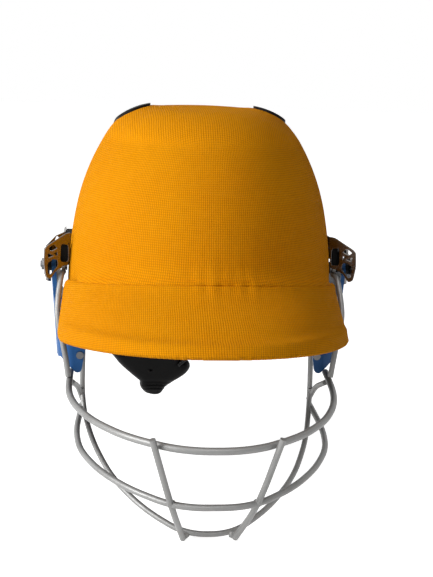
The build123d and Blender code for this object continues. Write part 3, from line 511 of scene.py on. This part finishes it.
class Nodes:
    """Short calls for the nodes of one tree."""

    def __init__(self, tree):
        self.tree = tree
        tree.nodes.clear()

    def new(self, kind):
        return self.tree.nodes.new("ShaderNode" + kind)

    def put(self, node, inputs):
        """Set the node's inputs, or link those whose value is another node's output."""
        for key, value in inputs.items():
            if isinstance(value, bpy.types.NodeSocket):
                self.tree.links.new(value, node.inputs[key])
            else:
                node.inputs[key].default_value = value
        return node

    def add(self, kind, inputs, out=0, **settings):
        """Output of a new node with these inputs and settings."""
        node = self.new(kind)
        for key, value in settings.items():
            setattr(node, key, value)
        return self.put(node, inputs).outputs[out]

    def math(self, operation, *values):
        return self.add("Math", dict(enumerate(values)), operation=operation)

    def seen_rays(self):
        """One for a ray that comes from the camera, a mirror or clear glass, else zero."""
        path = self.new("LightPath").outputs
        value = path["Is Camera Ray"]
        for kind in ("Is Glossy Ray", "Is Transmission Ray"):
            value = self.math("MAXIMUM", value, path[kind])
        return value


class Shader(Nodes):
    """A material with one principled surface."""

    def __init__(self, name):
        self.material = bpy.data.materials.new(name)
        self.material.use_nodes = True
        super().__init__(self.material.node_tree)
        self.output = self.new("OutputMaterial")
        self.surface = self.new("BsdfPrincipled")
        self.put(self.output, {0: self.surface.outputs[0]})

    def finished(self, **inputs):
        """The material with these inputs on its surface."""
        self.put(self.surface, {key.replace("_", " "): value for key, value in inputs.items()})
        return self.material

    def place(self):
        return self.add("TexCoord", {}, out="Object")

    def uv(self, name):
        return self.add("UVMap", {}, uv_map=name)

    def split(self, vector):
        return self.put(self.new("SeparateXYZ"), {0: vector}).outputs

    def noise(self, vector, scale, detail=3.0, roughness=0.55, distortion=0.0):
        return self.add("TexNoise", {"Vector": vector, "Scale": scale, "Detail": detail,
                                     "Roughness": roughness, "Distortion": distortion})

    def range(self, value, low, high, to_low, to_high):
        return self.add("MapRange", {0: value, 1: low, 2: high, 3: to_low, 4: to_high})

    def mix(self, factor, first, second):
        return self.add("Mix", {0: factor, 6: first, 7: second}, out=2, data_type="RGBA")

    def wave(self, value, rate):
        return self.math("SINE", self.math("MULTIPLY", value, rate))

    def bump(self, height, strength, distance, **below):
        return self.add("Bump", {"Height": height, "Strength": strength, "Distance": distance, **below})


def scaled(colour, factor, more=0.0):
    """The colour made lighter or darker."""
    return tuple(factor * part + more for part in colour[:3]) + (1,)


def knit(s, uv, place):
    """Dark of the gaps and height of a fine square knit, for places counted in cells."""
    waver = s.add("TexNoise", {"Vector": place, "Scale": 30.0, "Detail": 2.0}, out=1)
    drift = s.add("VectorMath", {0: waver, 1: (knit_drift,) * 3}, operation="MULTIPLY")
    across, along, _ = s.split(s.add("VectorMath", {0: uv, 1: drift}, operation="ADD"))
    cell = s.math("MULTIPLY", *(s.math("POWER", s.math("ABSOLUTE", s.wave(way, math.pi)), power)
                                for way, power in zip((across, along), knit_powers)))
    fine = s.math("MULTIPLY", *(s.wave(way, knit_strands * math.pi) for way in (across, along)))
    return cell, s.math("MULTIPLY_ADD", fine, strand_height, cell)


def cover_material():
    """Knit with dark gaps, wrapped round the sides and laid flat on the top, with broad random patches of
    deeper orange and a few specks.
    """
    s = Shader("cover_fabric")
    place = s.place()
    on_top = s.range(s.split(place)[2], top_from, top_to, 0.0, 1.0)
    cell, height = (s.add("Mix", {0: on_top, 2: wrapped, 3: flat}) for wrapped, flat in
                    zip(knit(s, s.uv("wrap"), place), knit(s, s.uv("plan"), place)))
    # Broad random patches where the orange turns deeper.
    orange_mottle = s.noise(place, 9.0, 4.0, 0.6)
    shade = s.noise(place, 240.0, 2.0, 0.5)
    spots = s.add("TexVoronoi", {"Vector": place, "Scale": 17.0})
    base = s.mix(s.range(orange_mottle, 0.35, 0.7, 0.0, 1.0), cover_bright, cover_deep)
    base = s.mix(s.range(cell, 0.25, 0.85, 0.56, 0.0), base, cover_gap)
    base = s.mix(s.range(shade, 0.4, 0.6, 0.06, 0.0), base, cover_pale)
    base = s.mix(s.range(spots, 0.010, 0.022, 0.8, 0.0), base, cover_speck)
    wrinkles = s.bump(s.noise(place, 26.0, 3.0, 0.55, 0.4), 0.35, 0.0012)
    return s.finished(
        Base_Color=base, Roughness=s.range(shade, 0.3, 0.7, 0.70, 0.86), Specular_IOR_Level=0.05,
        Sheen_Weight=0.04, Sheen_Roughness=0.5, Sheen_Tint=cover_tint,
        Normal=s.bump(height, 0.8, 0.0005, Normal=wrinkles))


def plastic(name, colour, roughness, grain, dent, shine):
    """Moulded plastic, rubber or foam with a fine grain and broad paler patches."""
    s = Shader(name)
    place = s.place()
    fine = s.noise(place, grain, 3.0, 0.6)
    broad = s.noise(place, 22.0, 4.0, 0.6)
    base = s.mix(s.range(broad, 0.5, 0.75, 0.0, 0.5), colour, scaled(colour, 1.7, 0.002))
    return s.finished(
        Base_Color=base, Roughness=s.range(broad, 0.3, 0.7, roughness - 0.07, roughness + 0.09),
        Specular_IOR_Level=shine, Normal=s.bump(fine, 0.35, dent))


def metal(name, colour, roughness, grain, metallic=1.0, dent=0.00015):
    """Bare or coated metal with a fine grain and broad duller patches."""
    s = Shader(name)
    place = s.place()
    fine = s.noise(place, grain, 4.0, 0.65)
    broad = s.noise(place, 35.0, 4.0, 0.6)
    base = s.mix(s.range(broad, 0.45, 0.75, 0.0, 0.7), colour, scaled(colour, 0.72))
    rough = s.math("ADD", s.range(fine, 0.3, 0.7, -0.07, 0.07),
                   s.range(broad, 0.3, 0.7, roughness - 0.05, roughness + 0.07))
    return s.finished(Base_Color=base, Metallic=metallic, Roughness=rough, Normal=s.bump(fine, 0.3, dent))


def textile(name, colour, pitch, depth):
    """Black woven or brushed cloth, its threads counted along its own places."""
    s = Shader(name)
    place = s.place()
    across, along, _ = s.split(s.uv("wrap"))
    rate = 2 * math.pi / pitch
    weave = s.math("MULTIPLY", s.wave(across, rate), s.wave(along, rate))
    height = s.math("MULTIPLY_ADD", s.noise(place, 900.0, 2.0, 0.6), 0.6, weave)
    lint = s.noise(place, 60.0, 4.0, 0.65)
    base = s.mix(s.range(weave, -1.0, 1.0, 0.0, 0.5), colour, scaled(colour, 2.2))
    base = s.mix(s.range(lint, 0.55, 0.8, 0.0, 0.4), base, scaled(colour, 3))
    return s.finished(
        Base_Color=base, Roughness=s.range(lint, 0.3, 0.7, 0.78, 0.92), Sheen_Weight=0.3, Sheen_Roughness=0.5,
        Normal=s.bump(height, 0.6, depth))


materials = {"cover_fabric": cover_material()}
for kind, name, *looks in (
    (plastic, "shell_plastic", (0.010, 0.010, 0.010, 1), 0.55, 900.0, 0.0003, 0.06),
    (plastic, "liner_foam", (0.030, 0.030, 0.031, 1), 0.85, 420.0, 0.0008, 0.1),
    (metal, "bracket_steel", (0.20, 0.185, 0.175, 1), 0.24, 260.0),
    (metal, "fastener_steel", (0.13, 0.13, 0.135, 1), 0.34, 500.0),
    (plastic, "black_rubber", (0.006, 0.006, 0.006, 1), 0.66, 700.0, 0.0003, 0.06),
    (plastic, "guard_plastic", (0.012, 0.088, 0.270, 1), 0.42, 1200.0, 0.0001, 0.3),
    (metal, "grille_wire", (0.30, 0.30, 0.295, 1), 0.44, 1300.0, 0.35, 0.0003),
    (plastic, "fitting_plastic", (0.005, 0.005, 0.005, 1), 0.52, 800.0, 0.0003, 0.12),
    (textile, "webbing", (0.010, 0.010, 0.010, 1), 0.0018, 0.0004),
    (textile, "pad_fabric", (0.013, 0.013, 0.014, 1), 0.0016, 0.0003),
):
    materials[name] = kind(name, *looks)
slot_of = {p["node"]: p["material_slot"] for p in frame["record"]["subparts"]}
for node, obj in frame["nodes"].items():
    obj.data.materials.clear()
    obj.data.materials.append(materials[slot_of[node]])


def finish_piece(obj, body, slot):
    """Give a piece its material and its body."""
    obj.data.materials.append(materials[slot])
    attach(obj, body)
    return obj


crown = finish_piece(crown_cover(), "shell", "cover_fabric")
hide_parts("crown_cover")
peak = finish_piece(peak_cover(), "shell", "cover_fabric")
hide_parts("peak_cover")


# Chin strap: webbing along the part's own path

band_width = 16.0
band_thickness = 1.7
band_back = 4.0
band_bend = 5.0
band_step = 0.8
band_ripple = 0.06
ripple_rate = 2.1
selvedge = 2.0
band_points = 17
edge_points = 7
strap_side = 92.0
# Each run of webbing: its name, its node, what holds its ends, and its places in the front view
bands = (
    ("band_right", "strap_right", ["strap_rivets", "chin_cup"],
     ((-strap_side, -19.0), (-strap_side, -33.0), (-86.0, -42.0), (-70.0, -53.0))),
    ("band_middle", "strap_middle", ["chin_cup", "buckle_socket"],
     ((-14.0, -66.0), (-3.0, -56.5), (12.0, -54.5), (31.2, -52.5))),
    ("band_left", "strap_left", ["buckle_plug", "strap_rivets"],
     ((66.1, -52.5), (84.0, -45.5), (strap_side, -33.0), (strap_side, -19.0))),
)


def rounded_path(points, radius, steps=10):
    """Places along straight runs joined by arcs."""
    points = [np.array(p, float) for p in points]
    out = [points[0]]
    for before, here, after in zip(points, points[1:], points[2:]):
        first = (before - here) / np.linalg.norm(before - here)
        second = (after - here) / np.linalg.norm(after - here)
        half_angle = math.acos(np.clip(first @ second, -1, 1)) / 2
        reach = radius / math.tan(half_angle)
        start = here + first * reach
        end = here + second * reach
        middle = (first + second) / np.linalg.norm(first + second)
        centre = here + middle * radius / math.sin(half_angle)
        a, b = start - centre, end - centre
        turn = math.acos(np.clip(a @ b / radius**2, -1, 1))
        for step in range(steps + 1):
            t = step / steps
            out.append(centre + (math.sin((1 - t) * turn) * a + math.sin(t * turn) * b) / math.sin(turn))
    out.append(points[-1])
    return np.array(out)


def webbing(name, node, places):
    """Flat woven band along places in the front view, as wide as the strap from front to back."""
    line = rounded_path(places, band_bend)
    path, along = evenly(line, max(2, int(lengths_along(line)[-1] / band_step) + 1))
    heading = np.gradient(path, along, axis=0)
    heading /= np.linalg.norm(heading, axis=1)[:, None]
    depth = band_thickness / 2
    flat = band_width / 2 - depth
    side = [(across, depth) for across in np.linspace(-flat, flat, band_points)]
    side += [(flat + depth * math.sin(turn), depth * math.cos(turn))
             for turn in np.linspace(0, math.pi, edge_points)[1:-1]]
    across, off = np.array(side + [(-across, -off) for across, off in side]).T
    ripple = band_ripple * np.sin(along * ripple_rate)[:, None]
    off = off + np.sign(off) * ripple * (np.abs(across) > band_width / 2 - selvedge)
    across, along_all = np.broadcast_arrays(across, along[:, None])
    spots = np.stack([path[:, :1] - heading[:, 1:] * off, band_back + across,
                      path[:, 1:] + heading[:, :1] * off], -1)
    count, size = off.shape
    faces = grid_faces(count, size, around=True)
    faces.append(tuple(range(size)))
    faces.append(tuple(reversed(range((count - 1) * size, count * size))))
    obj = new_object(name, spots, faces, {"wrap": np.stack([across, along_all], -1) * mm})
    finish_piece(obj, "chin_strap", "webbing")
    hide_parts(node)
    return obj, along[-1]


for name, node, ends_at, places in bands:
    band, length = webbing(name, node, places)


# Chin cup: a moulded dish with a lobe at the buckle's end and a ribbed grip below

cup_outline = (
    (-70.7, -53.2), (-66.3, -57.1), (-59.4, -65.8), (-50.1, -74.0), (-42.2, -80.6), (-42.6, -85.1),
    (-39.0, -89.6), (-33.0, -91.4), (-28.6, -91.0), (-26.1, -87.6), (-24.2, -84.4), (-15.9, -79.2),
    (-7.9, -73.8), (-5.0, -69.6), (-6.1, -66.6), (-10.2, -63.6), (-9.6, -60.5), (-11.5, -53.2),
)
cup_middle = (-36.0, -70.0)
cup_rim = 10.5
cup_depth = 11.0
grip_level = -81.5
grip_rate = 2.4
grip_height = 0.45
fold_level = -79.5
fold_top = -64.0
fold_depth = 0.7
fold_half_width = 2.2
cup_thickness = 1.6


def softened(loop, times=3, share=0.2):
    """Closed loop with its corners cut round."""
    loop = np.array(loop, float)
    for _ in range(times):
        after = np.roll(loop, -1, 0)
        loop = np.stack([loop + share * (after - loop), after - share * (after - loop)], 1).reshape(-1, 2)
    return loop


def cup():
    """Dish from its rim forward to its bottom, with a fold above the ribbed grip."""
    edge = softened(cup_outline)
    middle = np.array(cup_middle)
    shares = np.concatenate([1 - np.linspace(0, 0.12, 10) ** 1.6, np.linspace(0.95, 0.04, 30)])
    places = []
    for share in shares:
        side, level = (middle + share * (edge - middle)).T
        depth = cup_depth * math.sqrt(1 - share**9) * np.ones(len(edge))
        fold = fold_depth * (1 - smoothstep(0, fold_half_width, np.abs(level - fold_level)))
        ribs = grip_height * np.sin((level - grip_level) * grip_rate) * (level < grip_level) * (share < 0.97)
        depth += ribs - fold * (level < fold_top)
        places.append(np.stack([side, cup_rim - np.maximum(depth, 0), level], 1))
    faces = grid_faces(len(shares), len(edge), around=True)
    faces.append(tuple((len(shares) - 1) * len(edge) + k for k in range(len(edge))))
    obj = thicken(new_object("cup_dish", places, faces), cup_thickness, even=False)
    finish_piece(obj, "chin_strap", "fitting_plastic")
    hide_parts("chin_cup")


cup()


# Front web of each bracket: a pressed lattice from the cover out to the bolt's flange

web_outline = (
    (98.4, 43.2), (102.6, 42.2), (108.6, 37.8), (115.4, 33.0), (117.6, 30.4), (118.2, 19.0), (116.6, 9.0),
    (113.6, 7.6), (109.6, 14.0), (104.4, 18.0), (100.4, 18.4),
)
web_windows = (
    ((100.6, 34.0), (106.2, 34.6), (106.6, 20.6), (100.6, 20.8)),
    ((108.4, 31.0), (111.2, 34.2), (115.4, 30.6), (113.0, 28.4)),
    ((108.6, 28.4), (111.4, 27.0), (108.6, 25.0)),
    ((110.6, 25.4), (115.8, 27.4), (115.4, 23.2)),
    ((108.6, 22.2), (111.6, 23.0), (116.0, 19.4), (115.4, 11.6), (113.4, 10.6), (108.2, 18.0)),
)
web_ahead = 22.2
web_slope = 0.5
web_start = 101.0
web_drop = 0.21
web_thickness = 1.1
web_edge = ((9.0, 19.0, 30.4), (116.6, 118.2, 117.6))
flange_side = 118.4
flange_ahead = 18.4
flange_low = 10.4
flange_high = 30.6
flange_overlap = 0.6
flange_rows = 24
flange_columns = 8
web_round = 0.15
web_middle = 23.0
corner_share = 0.13
buffer_middle = (103.0, -20.2, 26.8)
buffer_size = (4.8, 3.4, 15.0)
buffer_round = 0.8


def web_place(side, across, level, off=0.0):
    """Place on the slanting web, off its middle towards the front."""
    ahead = web_ahead + web_slope * (across - web_start)
    size = math.hypot(1, web_slope)
    drop = web_drop * (ahead - web_middle)
    return (side * (across - off * web_slope / size), -ahead - off / size, level + drop)


def bracket_web(side, name):
    """Pressed web with its windows, cut out flat and then slanted, and the flange back from its edge."""
    curve = bpy.data.curves.new(name, "CURVE")
    curve.dimensions = "2D"
    curve.fill_mode = "BOTH"
    curve.extrude = web_thickness / 2 - web_round
    curve.bevel_depth = web_round
    for loop in (web_outline,) + web_windows:
        loop = softened(loop, share=corner_share)
        spline = curve.splines.new("POLY")
        spline.points.add(len(loop) - 1)
        for point, (across, level) in zip(spline.points, loop):
            point.co = (across, level, 0, 1)
        spline.use_cyclic_u = True
    holder = bpy.data.objects.new(name + "_curve", curve)
    flat = holder.to_mesh()
    places = [web_place(side, *vertex.co) for vertex in flat.vertices]
    faces = [tuple(polygon.vertices)[::side] for polygon in flat.polygons]
    web = new_object(name, places, faces, smooth=False)
    holder.to_mesh_clear()
    bpy.data.objects.remove(holder)
    finish_piece(web, "shell", "bracket_steel")
    strip = []
    for level in np.linspace(flange_low, flange_high, flange_rows):
        front = np.array(web_place(side, float(np.interp(level, *web_edge)) - flange_overlap, level))
        rear = np.array((side * flange_side, -flange_ahead, level))
        strip += [front + (rear - front) * share for share in np.linspace(0, 1, flange_columns)]
    flange = new_object(name + "_flange", strip, grid_faces(flange_rows, flange_columns))
    finish_piece(thicken(flange, web_thickness, offset=0.0), "shell", "bracket_steel")


def rubber_buffer(side, name):
    """Rubber pad that fills the web's inner window, against the cover."""
    block = bmesh.new()
    bmesh.ops.create_cube(block, size=1.0)
    for vertex in block.verts:
        x, y, z = (middle + size * part for middle, size, part in zip(buffer_middle, buffer_size, vertex.co))
        vertex.co = (side * x, y, z)
    bmesh.ops.bevel(block, geom=block.edges[:], offset=buffer_round, segments=3, affect="EDGES")
    bmesh.ops.recalc_face_normals(block, faces=block.faces[:])
    finish_piece(from_bmesh(name, block, smooth=False), "shell", "black_rubber")


for side, word in ((1, "left"), (-1, "right")):
    bracket_web(side, f"bracket_web_{word}")
    rubber_buffer(side, f"web_buffer_{word}")


# Cushions: each pad is a padded patch on the liner's inner wall

cover_layer = 1.2
shell_wall = 3.2
layer_gap = 0.2
liner_thickness = 13.0
pad_stand = 0.3
pad_thickness = 6.3
pad_cell = 2.4
pad_roll = 7.0
pad_back = 0.05
pad_flank, pad_middle = 0.62, 0.38
pad_edge, pad_edge_width = 0.9, 1.5
pad_least = 0.5
corner_pull = 0.10
held_rim, held_depth = 1.0, 1.4
channel_depth = 2.2
channel_spread = 1.5
filled_most = 1.2
fill_frames = 20
pad_profile = dome_profile(cover_layer + shell_wall + 2 * layer_gap + liner_thickness + pad_stand)
# Each pad: its name, its node, its lower and upper edge, the turn of its middle, its sweep to each side as
# a share of half a turn, and its channels
pads = (
    ("brow_cushion", "brow_pad", 26.0, 52.0, -math.pi / 2, 0.27, (-0.5, 0.0, 0.5)),
    ("rear_cushion", "rear_pad", -26.0, 22.0, math.pi / 2, 0.17, (-0.34, 0.34)),
    ("side_cushion_left", "side_pad_left", -4.0, 40.0, 0.0, 0.13, (0.0,)),
    ("side_cushion_right", "side_pad_right", -4.0, 40.0, math.pi, 0.13, (0.0,)),
)


def wall_spot(level):
    """Place (out, up) on the pads' wall at a height."""
    return np.array((float(np.interp(-level, -pad_profile[1], pad_profile[0])), level))


def cushion(name, node, low, high, middle_turn, sweep_share, channels):
    """Closed cushion with drawn-in edges and stitched channels."""
    low_spot = wall_spot(low)
    high_spot = wall_spot(high)
    height = np.linalg.norm(high_spot - low_spot)
    along = (high_spot - low_spot) / height
    inward = np.array((-along[1], along[0]))
    half_sweep = math.pi * sweep_share
    width = half_sweep * (low_spot[0] + high_spot[0])
    cols = max(12, int(width / pad_cell))
    lines = max(10, int(height / pad_cell))
    grid_u, grid_v = np.meshgrid(np.linspace(-1, 1, cols), np.linspace(-1, 1, lines))
    rim = np.minimum((1 - np.abs(grid_u)) * width / 2, (1 - np.abs(grid_v)) * height / 2)
    swell = np.sqrt(np.clip(1 - (1 - np.clip(rim / pad_roll, 0, 1)) ** 2, 0, 1))
    crown = pad_flank + pad_middle * (1 - grid_u**2) * (1 - grid_v**2)
    depth = (pad_thickness - 1.0) * swell * crown + pad_edge * smoothstep(0, pad_edge_width, rim)
    for place in channels:
        depth -= hump((grid_u - place) * width / 2, channel_depth, 0, channel_spread) * swell
    depth = np.maximum(depth, pad_least)
    turn = middle_turn + half_sweep * grid_u * (1 - corner_pull * grid_v**4 * np.abs(grid_u) ** 8)
    line = low_spot + (grid_v[..., None] + 1) / 2 * (high_spot - low_spot)
    sides = []
    for off in (depth[..., None], pad_back):
        out, up = np.moveaxis(line + inward * off, -1, 0)
        sides.append(np.stack([out * np.cos(turn), length_share * out * np.sin(turn), up], -1))
    uv = np.stack([grid_u * width / 2, grid_v * height / 2], -1) * mm
    total = cols * lines
    faces = grid_faces(lines, cols)
    faces += [tuple(total + i for i in reversed(face)) for face in faces]
    order = np.arange(total).reshape(lines, cols)
    edge = np.concatenate([order[0], order[1:, -1], order[-1, -2::-1], order[-2:0:-1, 0]]).tolist()
    for here, there in zip(edge, edge[1:] + edge[:1]):
        faces.append((here, there, total + there, total + here))
    obj = new_object(name, sides, faces, {"wrap": [uv, uv]})
    settle(obj, total, np.nonzero(((rim < held_rim) | (depth < held_depth)).ravel())[0].tolist())
    finish_piece(obj, "shell", "pad_fabric")
    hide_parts(node)


def settle(obj, total, seams):
    """Let the cushion's skin fill out under pressure, its back and seams held."""
    group = obj.vertex_groups.new(name="held")
    group.add(list(range(total, 2 * total)) + seams, 1.0, "REPLACE")
    before = np.zeros(len(obj.data.vertices) * 3)
    obj.data.vertices.foreach_get("co", before)
    cloth = obj.modifiers.new("fill", "CLOTH")
    cloth.settings.vertex_group_mass = "held"
    cloth.settings.use_pressure = True
    cloth.settings.uniform_pressure_force = 4.0
    cloth.settings.quality = 5
    cloth.settings.mass = 0.2
    cloth.settings.tension_stiffness = 20
    cloth.settings.compression_stiffness = 20
    cloth.settings.bending_stiffness = 0.5
    cloth.settings.effector_weights.gravity = 0.0
    cloth.collision_settings.use_collision = False
    cloth.collision_settings.use_self_collision = False
    cloth.point_cache.frame_start = 1
    cloth.point_cache.frame_end = fill_frames
    for at in range(1, fill_frames + 1):
        scene.frame_set(at)
    after = np.zeros(len(before))
    filled = obj.evaluated_get(bpy.context.evaluated_depsgraph_get())
    filled.data.vertices.foreach_get("co", after)
    obj.modifiers.remove(cloth)
    move = (after - before).reshape(-1, 3)
    size = np.linalg.norm(move, axis=1)
    limit = np.minimum(1.0, filled_most * mm / np.maximum(size, 1e-9))
    obj.data.vertices.foreach_set("co", before + (move * limit[:, None]).ravel())
    obj.data.update()
    scene.frame_set(1)


for pad in pads:
    cushion(*pad)


# Flat cushions of the crown and the nape

oval_rings = 16
oval_spokes = 72
oval_flank, oval_middle = 0.75, 0.25
oval_base, oval_least = 0.15, 0.2
groove_depth, groove_spread = 1.6, 1.4
oval, boxy = 2.0, 4.0
crown_edge = 0.2
crown_thickness = 5.6
nape_thickness = 5.4
nape_halves = (25.6, 8.7)
nape_channels = (-9.0, 9.0)


def flat_cushion(name, node, body, centre, halves, directions, thickness, power, channels=()):
    """Oval or boxy cushion on a flat seat; the directions are its width, its height and its swell."""
    centre, directions = np.array(centre, float), np.array(directions, float)
    turn = np.linspace(0, 2 * math.pi, oval_spokes, endpoint=False)
    cos, sin = np.cos(turn), np.sin(turn)
    reach = (np.abs(cos) ** power + np.abs(sin) ** power) ** (-1 / power)
    edge_u, edge_v = reach * cos * halves[0], reach * sin * halves[1]
    rings = []
    for share in np.arange(1, oval_rings + 1) / oval_rings:
        crown = thickness * (oval_flank + oval_middle * (1 - share**2))
        groove = sum(hump(share * edge_u, groove_depth, place, groove_spread) for place in channels)
        depth = crown * math.sqrt(max(0.0, 1 - share**6)) + oval_base - groove * (1 - share**4)
        lift = np.maximum(depth, oval_least) * np.ones(oval_spokes)
        rings.append(np.stack([share * edge_u, share * edge_v, lift], -1))
    rings.append(np.stack([edge_u, edge_v, np.zeros(oval_spokes)], -1))
    rings = np.array(rings)
    last = oval_rings * oval_spokes
    faces = grid_faces(oval_rings + 1, oval_spokes, around=True)
    faces += [tuple(reversed(range(oval_spokes))), tuple(range(last, last + oval_spokes))]
    obj = new_object(name, centre + rings @ directions, faces, {"wrap": rings[..., :2] * mm})
    finish_piece(obj, body, "pad_fabric")
    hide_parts(node)


crown_low, crown_high = (np.array(c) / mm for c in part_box("crown_pad"))
flat_cushion(
    "crown_cushion", "crown_pad", "shell", (0, (crown_low[1] + crown_high[1]) / 2, crown_high[2]),
    (crown_high - crown_low)[:2] / 2 - crown_edge, ((1, 0, 0), (0, 1, 0), (0, 0, -1)), crown_thickness, oval)
nape_low, nape_high = (np.array(c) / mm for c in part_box("cradle_pad"))
flat_cushion(
    "nape_cushion", "cradle_pad", "cradle", (0, nape_high[1], (nape_low[2] + nape_high[2]) / 2),
    nape_halves, ((1, 0, 0), (0, 0, 1), (0, -1, 0)), nape_thickness, boxy, nape_channels)


# Weld beads where the grille's wires meet

weld_gap = 2.0
weld_near = 12
weld_waves = ((0.07, 5), (0.06, 7), (0.06, 9))
weld_sizes = (1.15, 1.0, 1.05)
# Each meeting: its two wires and the size of the bead
joints = []
for side in ("left", "right"):
    joints += [(f"front_rod_{side}", bar, 2.5) for bar in ("top_bar", "middle_bar", "chin_bar")]
    joints += [(f"cheek_brace_{side}", "top_bar", 2.2), (f"cheek_brace_{side}", "chin_bar", 2.2),
               (f"side_stay_{side}", "top_bar", 2.3)]


def contact_place(first, second):
    """Middle of the place where two wires come nearest, and the gap between them there."""
    vertices = frame["nodes"][second].data.vertices
    tree = kdtree.KDTree(len(vertices))
    for index, vertex in enumerate(vertices):
        tree.insert(vertex.co, index)
    tree.balance()
    found = []
    for vertex in frame["nodes"][first].data.vertices:
        place, _, distance = tree.find(vertex.co)
        found.append((distance, (vertex.co + place) / 2))
    found.sort(key=lambda pair: pair[0])
    near = [place for _, place in found[:weld_near]]
    return sum(near, Vector()) / len(near), found[0][0]


for number, (first, second, size) in enumerate(joints):
    place, gap = contact_place(first, second)
    if gap > weld_gap * mm:
        continue
    phases = np.random.default_rng(40 + number).uniform(0, 6.28, 6)
    bead = bmesh.new()
    bmesh.ops.create_icosphere(bead, subdivisions=4, radius=1.0)
    for vertex in bead.verts:
        swell = 1 + sum(share * math.sin(rate * part + phase)
                        for (share, rate), part, phase in zip(weld_waves, vertex.co, phases))
        vertex.co = Vector(weld_sizes) * vertex.co * size * swell + place / mm
    finish_piece(from_bmesh(f"weld_{number}", bead), "face_guard", "grille_wire")


# Stitches: one row on the crown's side of the seam

stitch_turn = 1.06
stitch_count = 149
stitch_back = 3.4
stitch_lift = 0.28
stitch_length = 1.25
stitch_radius = 0.24
stitch_sides = 6
heading_step = 0.005
stitch_profile = ((-0.5, 0.25), (-0.4, 0.8), (-0.2, 1.0), (0.2, 1.0), (0.4, 0.8), (0.5, 0.25))


def stitch_place(turn):
    """Place beside the seam at a turn from the front."""
    return crown_place(turn, boundary_along(turn) - stitch_back, stitch_back, stitch_lift)


def seam_stitches():
    """Small rounded rods, one for each stitch."""
    edges = np.linspace(-stitch_turn, stitch_turn, stitch_count + 1)
    vertices, faces = [], []
    for turn in (edges[:-1] + edges[1:]) / 2:
        here = stitch_place(turn)
        heading = Vector(stitch_place(turn + heading_step) - here).normalized()
        side = heading.orthogonal().normalized()
        other = heading.cross(side)
        base = len(vertices)
        for share, size in stitch_profile:
            for k in range(stitch_sides):
                swing = 2 * math.pi * k / stitch_sides
                away = (side * math.cos(swing) + other * math.sin(swing)) * stitch_radius * size
                vertices.append(tuple(Vector(here) + heading * (stitch_length * share) + away))
        faces += grid_faces(len(stitch_profile), stitch_sides, base, around=True)
        faces.append(tuple(range(base, base + stitch_sides)))
        faces.append(tuple(reversed(range(len(vertices) - stitch_sides, len(vertices)))))
    finish_piece(new_object("seam_stitches", vertices, faces), "shell", "cover_fabric")


seam_stitches()


# Floor, light and camera

floor_size = 12
floor_below = 0.0005
floor_colour = (0.88, 0.88, 0.88, 1)
floor_glow = 0.88
room_light = 0.075
paper_light = 1.0
bpy.ops.mesh.primitive_plane_add(size=floor_size, location=(0, 0, cad_low[2] - floor_below))
floor = bpy.context.object
floor.name = "floor"


def ground_material():
    """White paper, which the camera sees brighter than the light on it makes it."""
    s = Shader("ground")
    material = s.finished(Base_Color=floor_colour, Roughness=0.9)
    plain = s.surface.outputs[0]
    glow = s.add("Emission", {0: white, 1: floor_glow})
    seen = s.add("AddShader", {0: plain, 1: glow})
    s.put(s.output, {0: s.add("MixShader", {0: s.seen_rays(), 1: plain, 2: seen})})
    return material


floor.data.materials.append(ground_material())

world = bpy.data.worlds.new("studio")
scene.world = world
world.use_nodes = True
backdrop = Nodes(world.node_tree)
room = backdrop.add("Background", {0: white, 1: room_light})
paper = backdrop.add("Background", {0: white, 1: paper_light})
shown = backdrop.add("MixShader", {0: backdrop.seen_rays(), 1: room, 2: paper})
backdrop.put(backdrop.new("OutputWorld"), {0: shown})


def softbox(name, place, aim, size, power):
    """Large square soft light at a place, turned to the object."""
    lamp = bpy.data.lights.new(name, "AREA")
    lamp.shape = "SQUARE"
    lamp.size = size
    lamp.energy = power
    obj = linked(name, lamp)
    obj.location = place
    obj.rotation_mode = "QUATERNION"
    obj.rotation_quaternion = (Vector(aim) - Vector(place)).to_track_quat("-Z", "Y")


softbox("key", (-1.5, -0.5, 0.68), (0, -0.02, 0.02), 0.9, 30)
softbox("fill", (-0.05, -1.2, 1.3), (0, 0, 0), 0.8, 7.5)
softbox("top", (-0.2, 0.3, 1.5), (0, 0, 0), 1.0, 0.6)

azimuth, elevation, roll = math.radians(-5.0), math.radians(11.9), math.radians(1.7)
distance = 0.862
focal_pixels, origin_left, origin_above = 1096.0, 18.5, 4.4
camera_data = bpy.data.cameras.new("camera")
camera_data.sensor_width = 36.0
camera_data.lens = 68.4
camera_data.clip_start = 0.05
camera_data.clip_end = 50
level_right = Vector((math.cos(azimuth), math.sin(azimuth), 0))
level_back = Vector((math.sin(azimuth), -math.cos(azimuth), 0))
back = level_back * math.cos(elevation) + Vector((0, 0, math.sin(elevation)))
right = level_right * math.cos(roll) + back.cross(level_right) * math.sin(roll)
up = back.cross(right)
aim = (right * origin_left - up * origin_above) * (distance / focal_pixels)
position = back * distance
forward = (aim - position).normalized()
right = forward.cross(up).normalized()
up = right.cross(forward)
camera = linked("camera", camera_data)
camera.matrix_world = Matrix((
    (right.x, up.x, -forward.x, position.x),
    (right.y, up.y, -forward.y, position.y),
    (right.z, up.z, -forward.z, position.z),
    (0, 0, 0, 1),
))
scene.camera = camera
scene.view_settings.view_transform = "Standard"
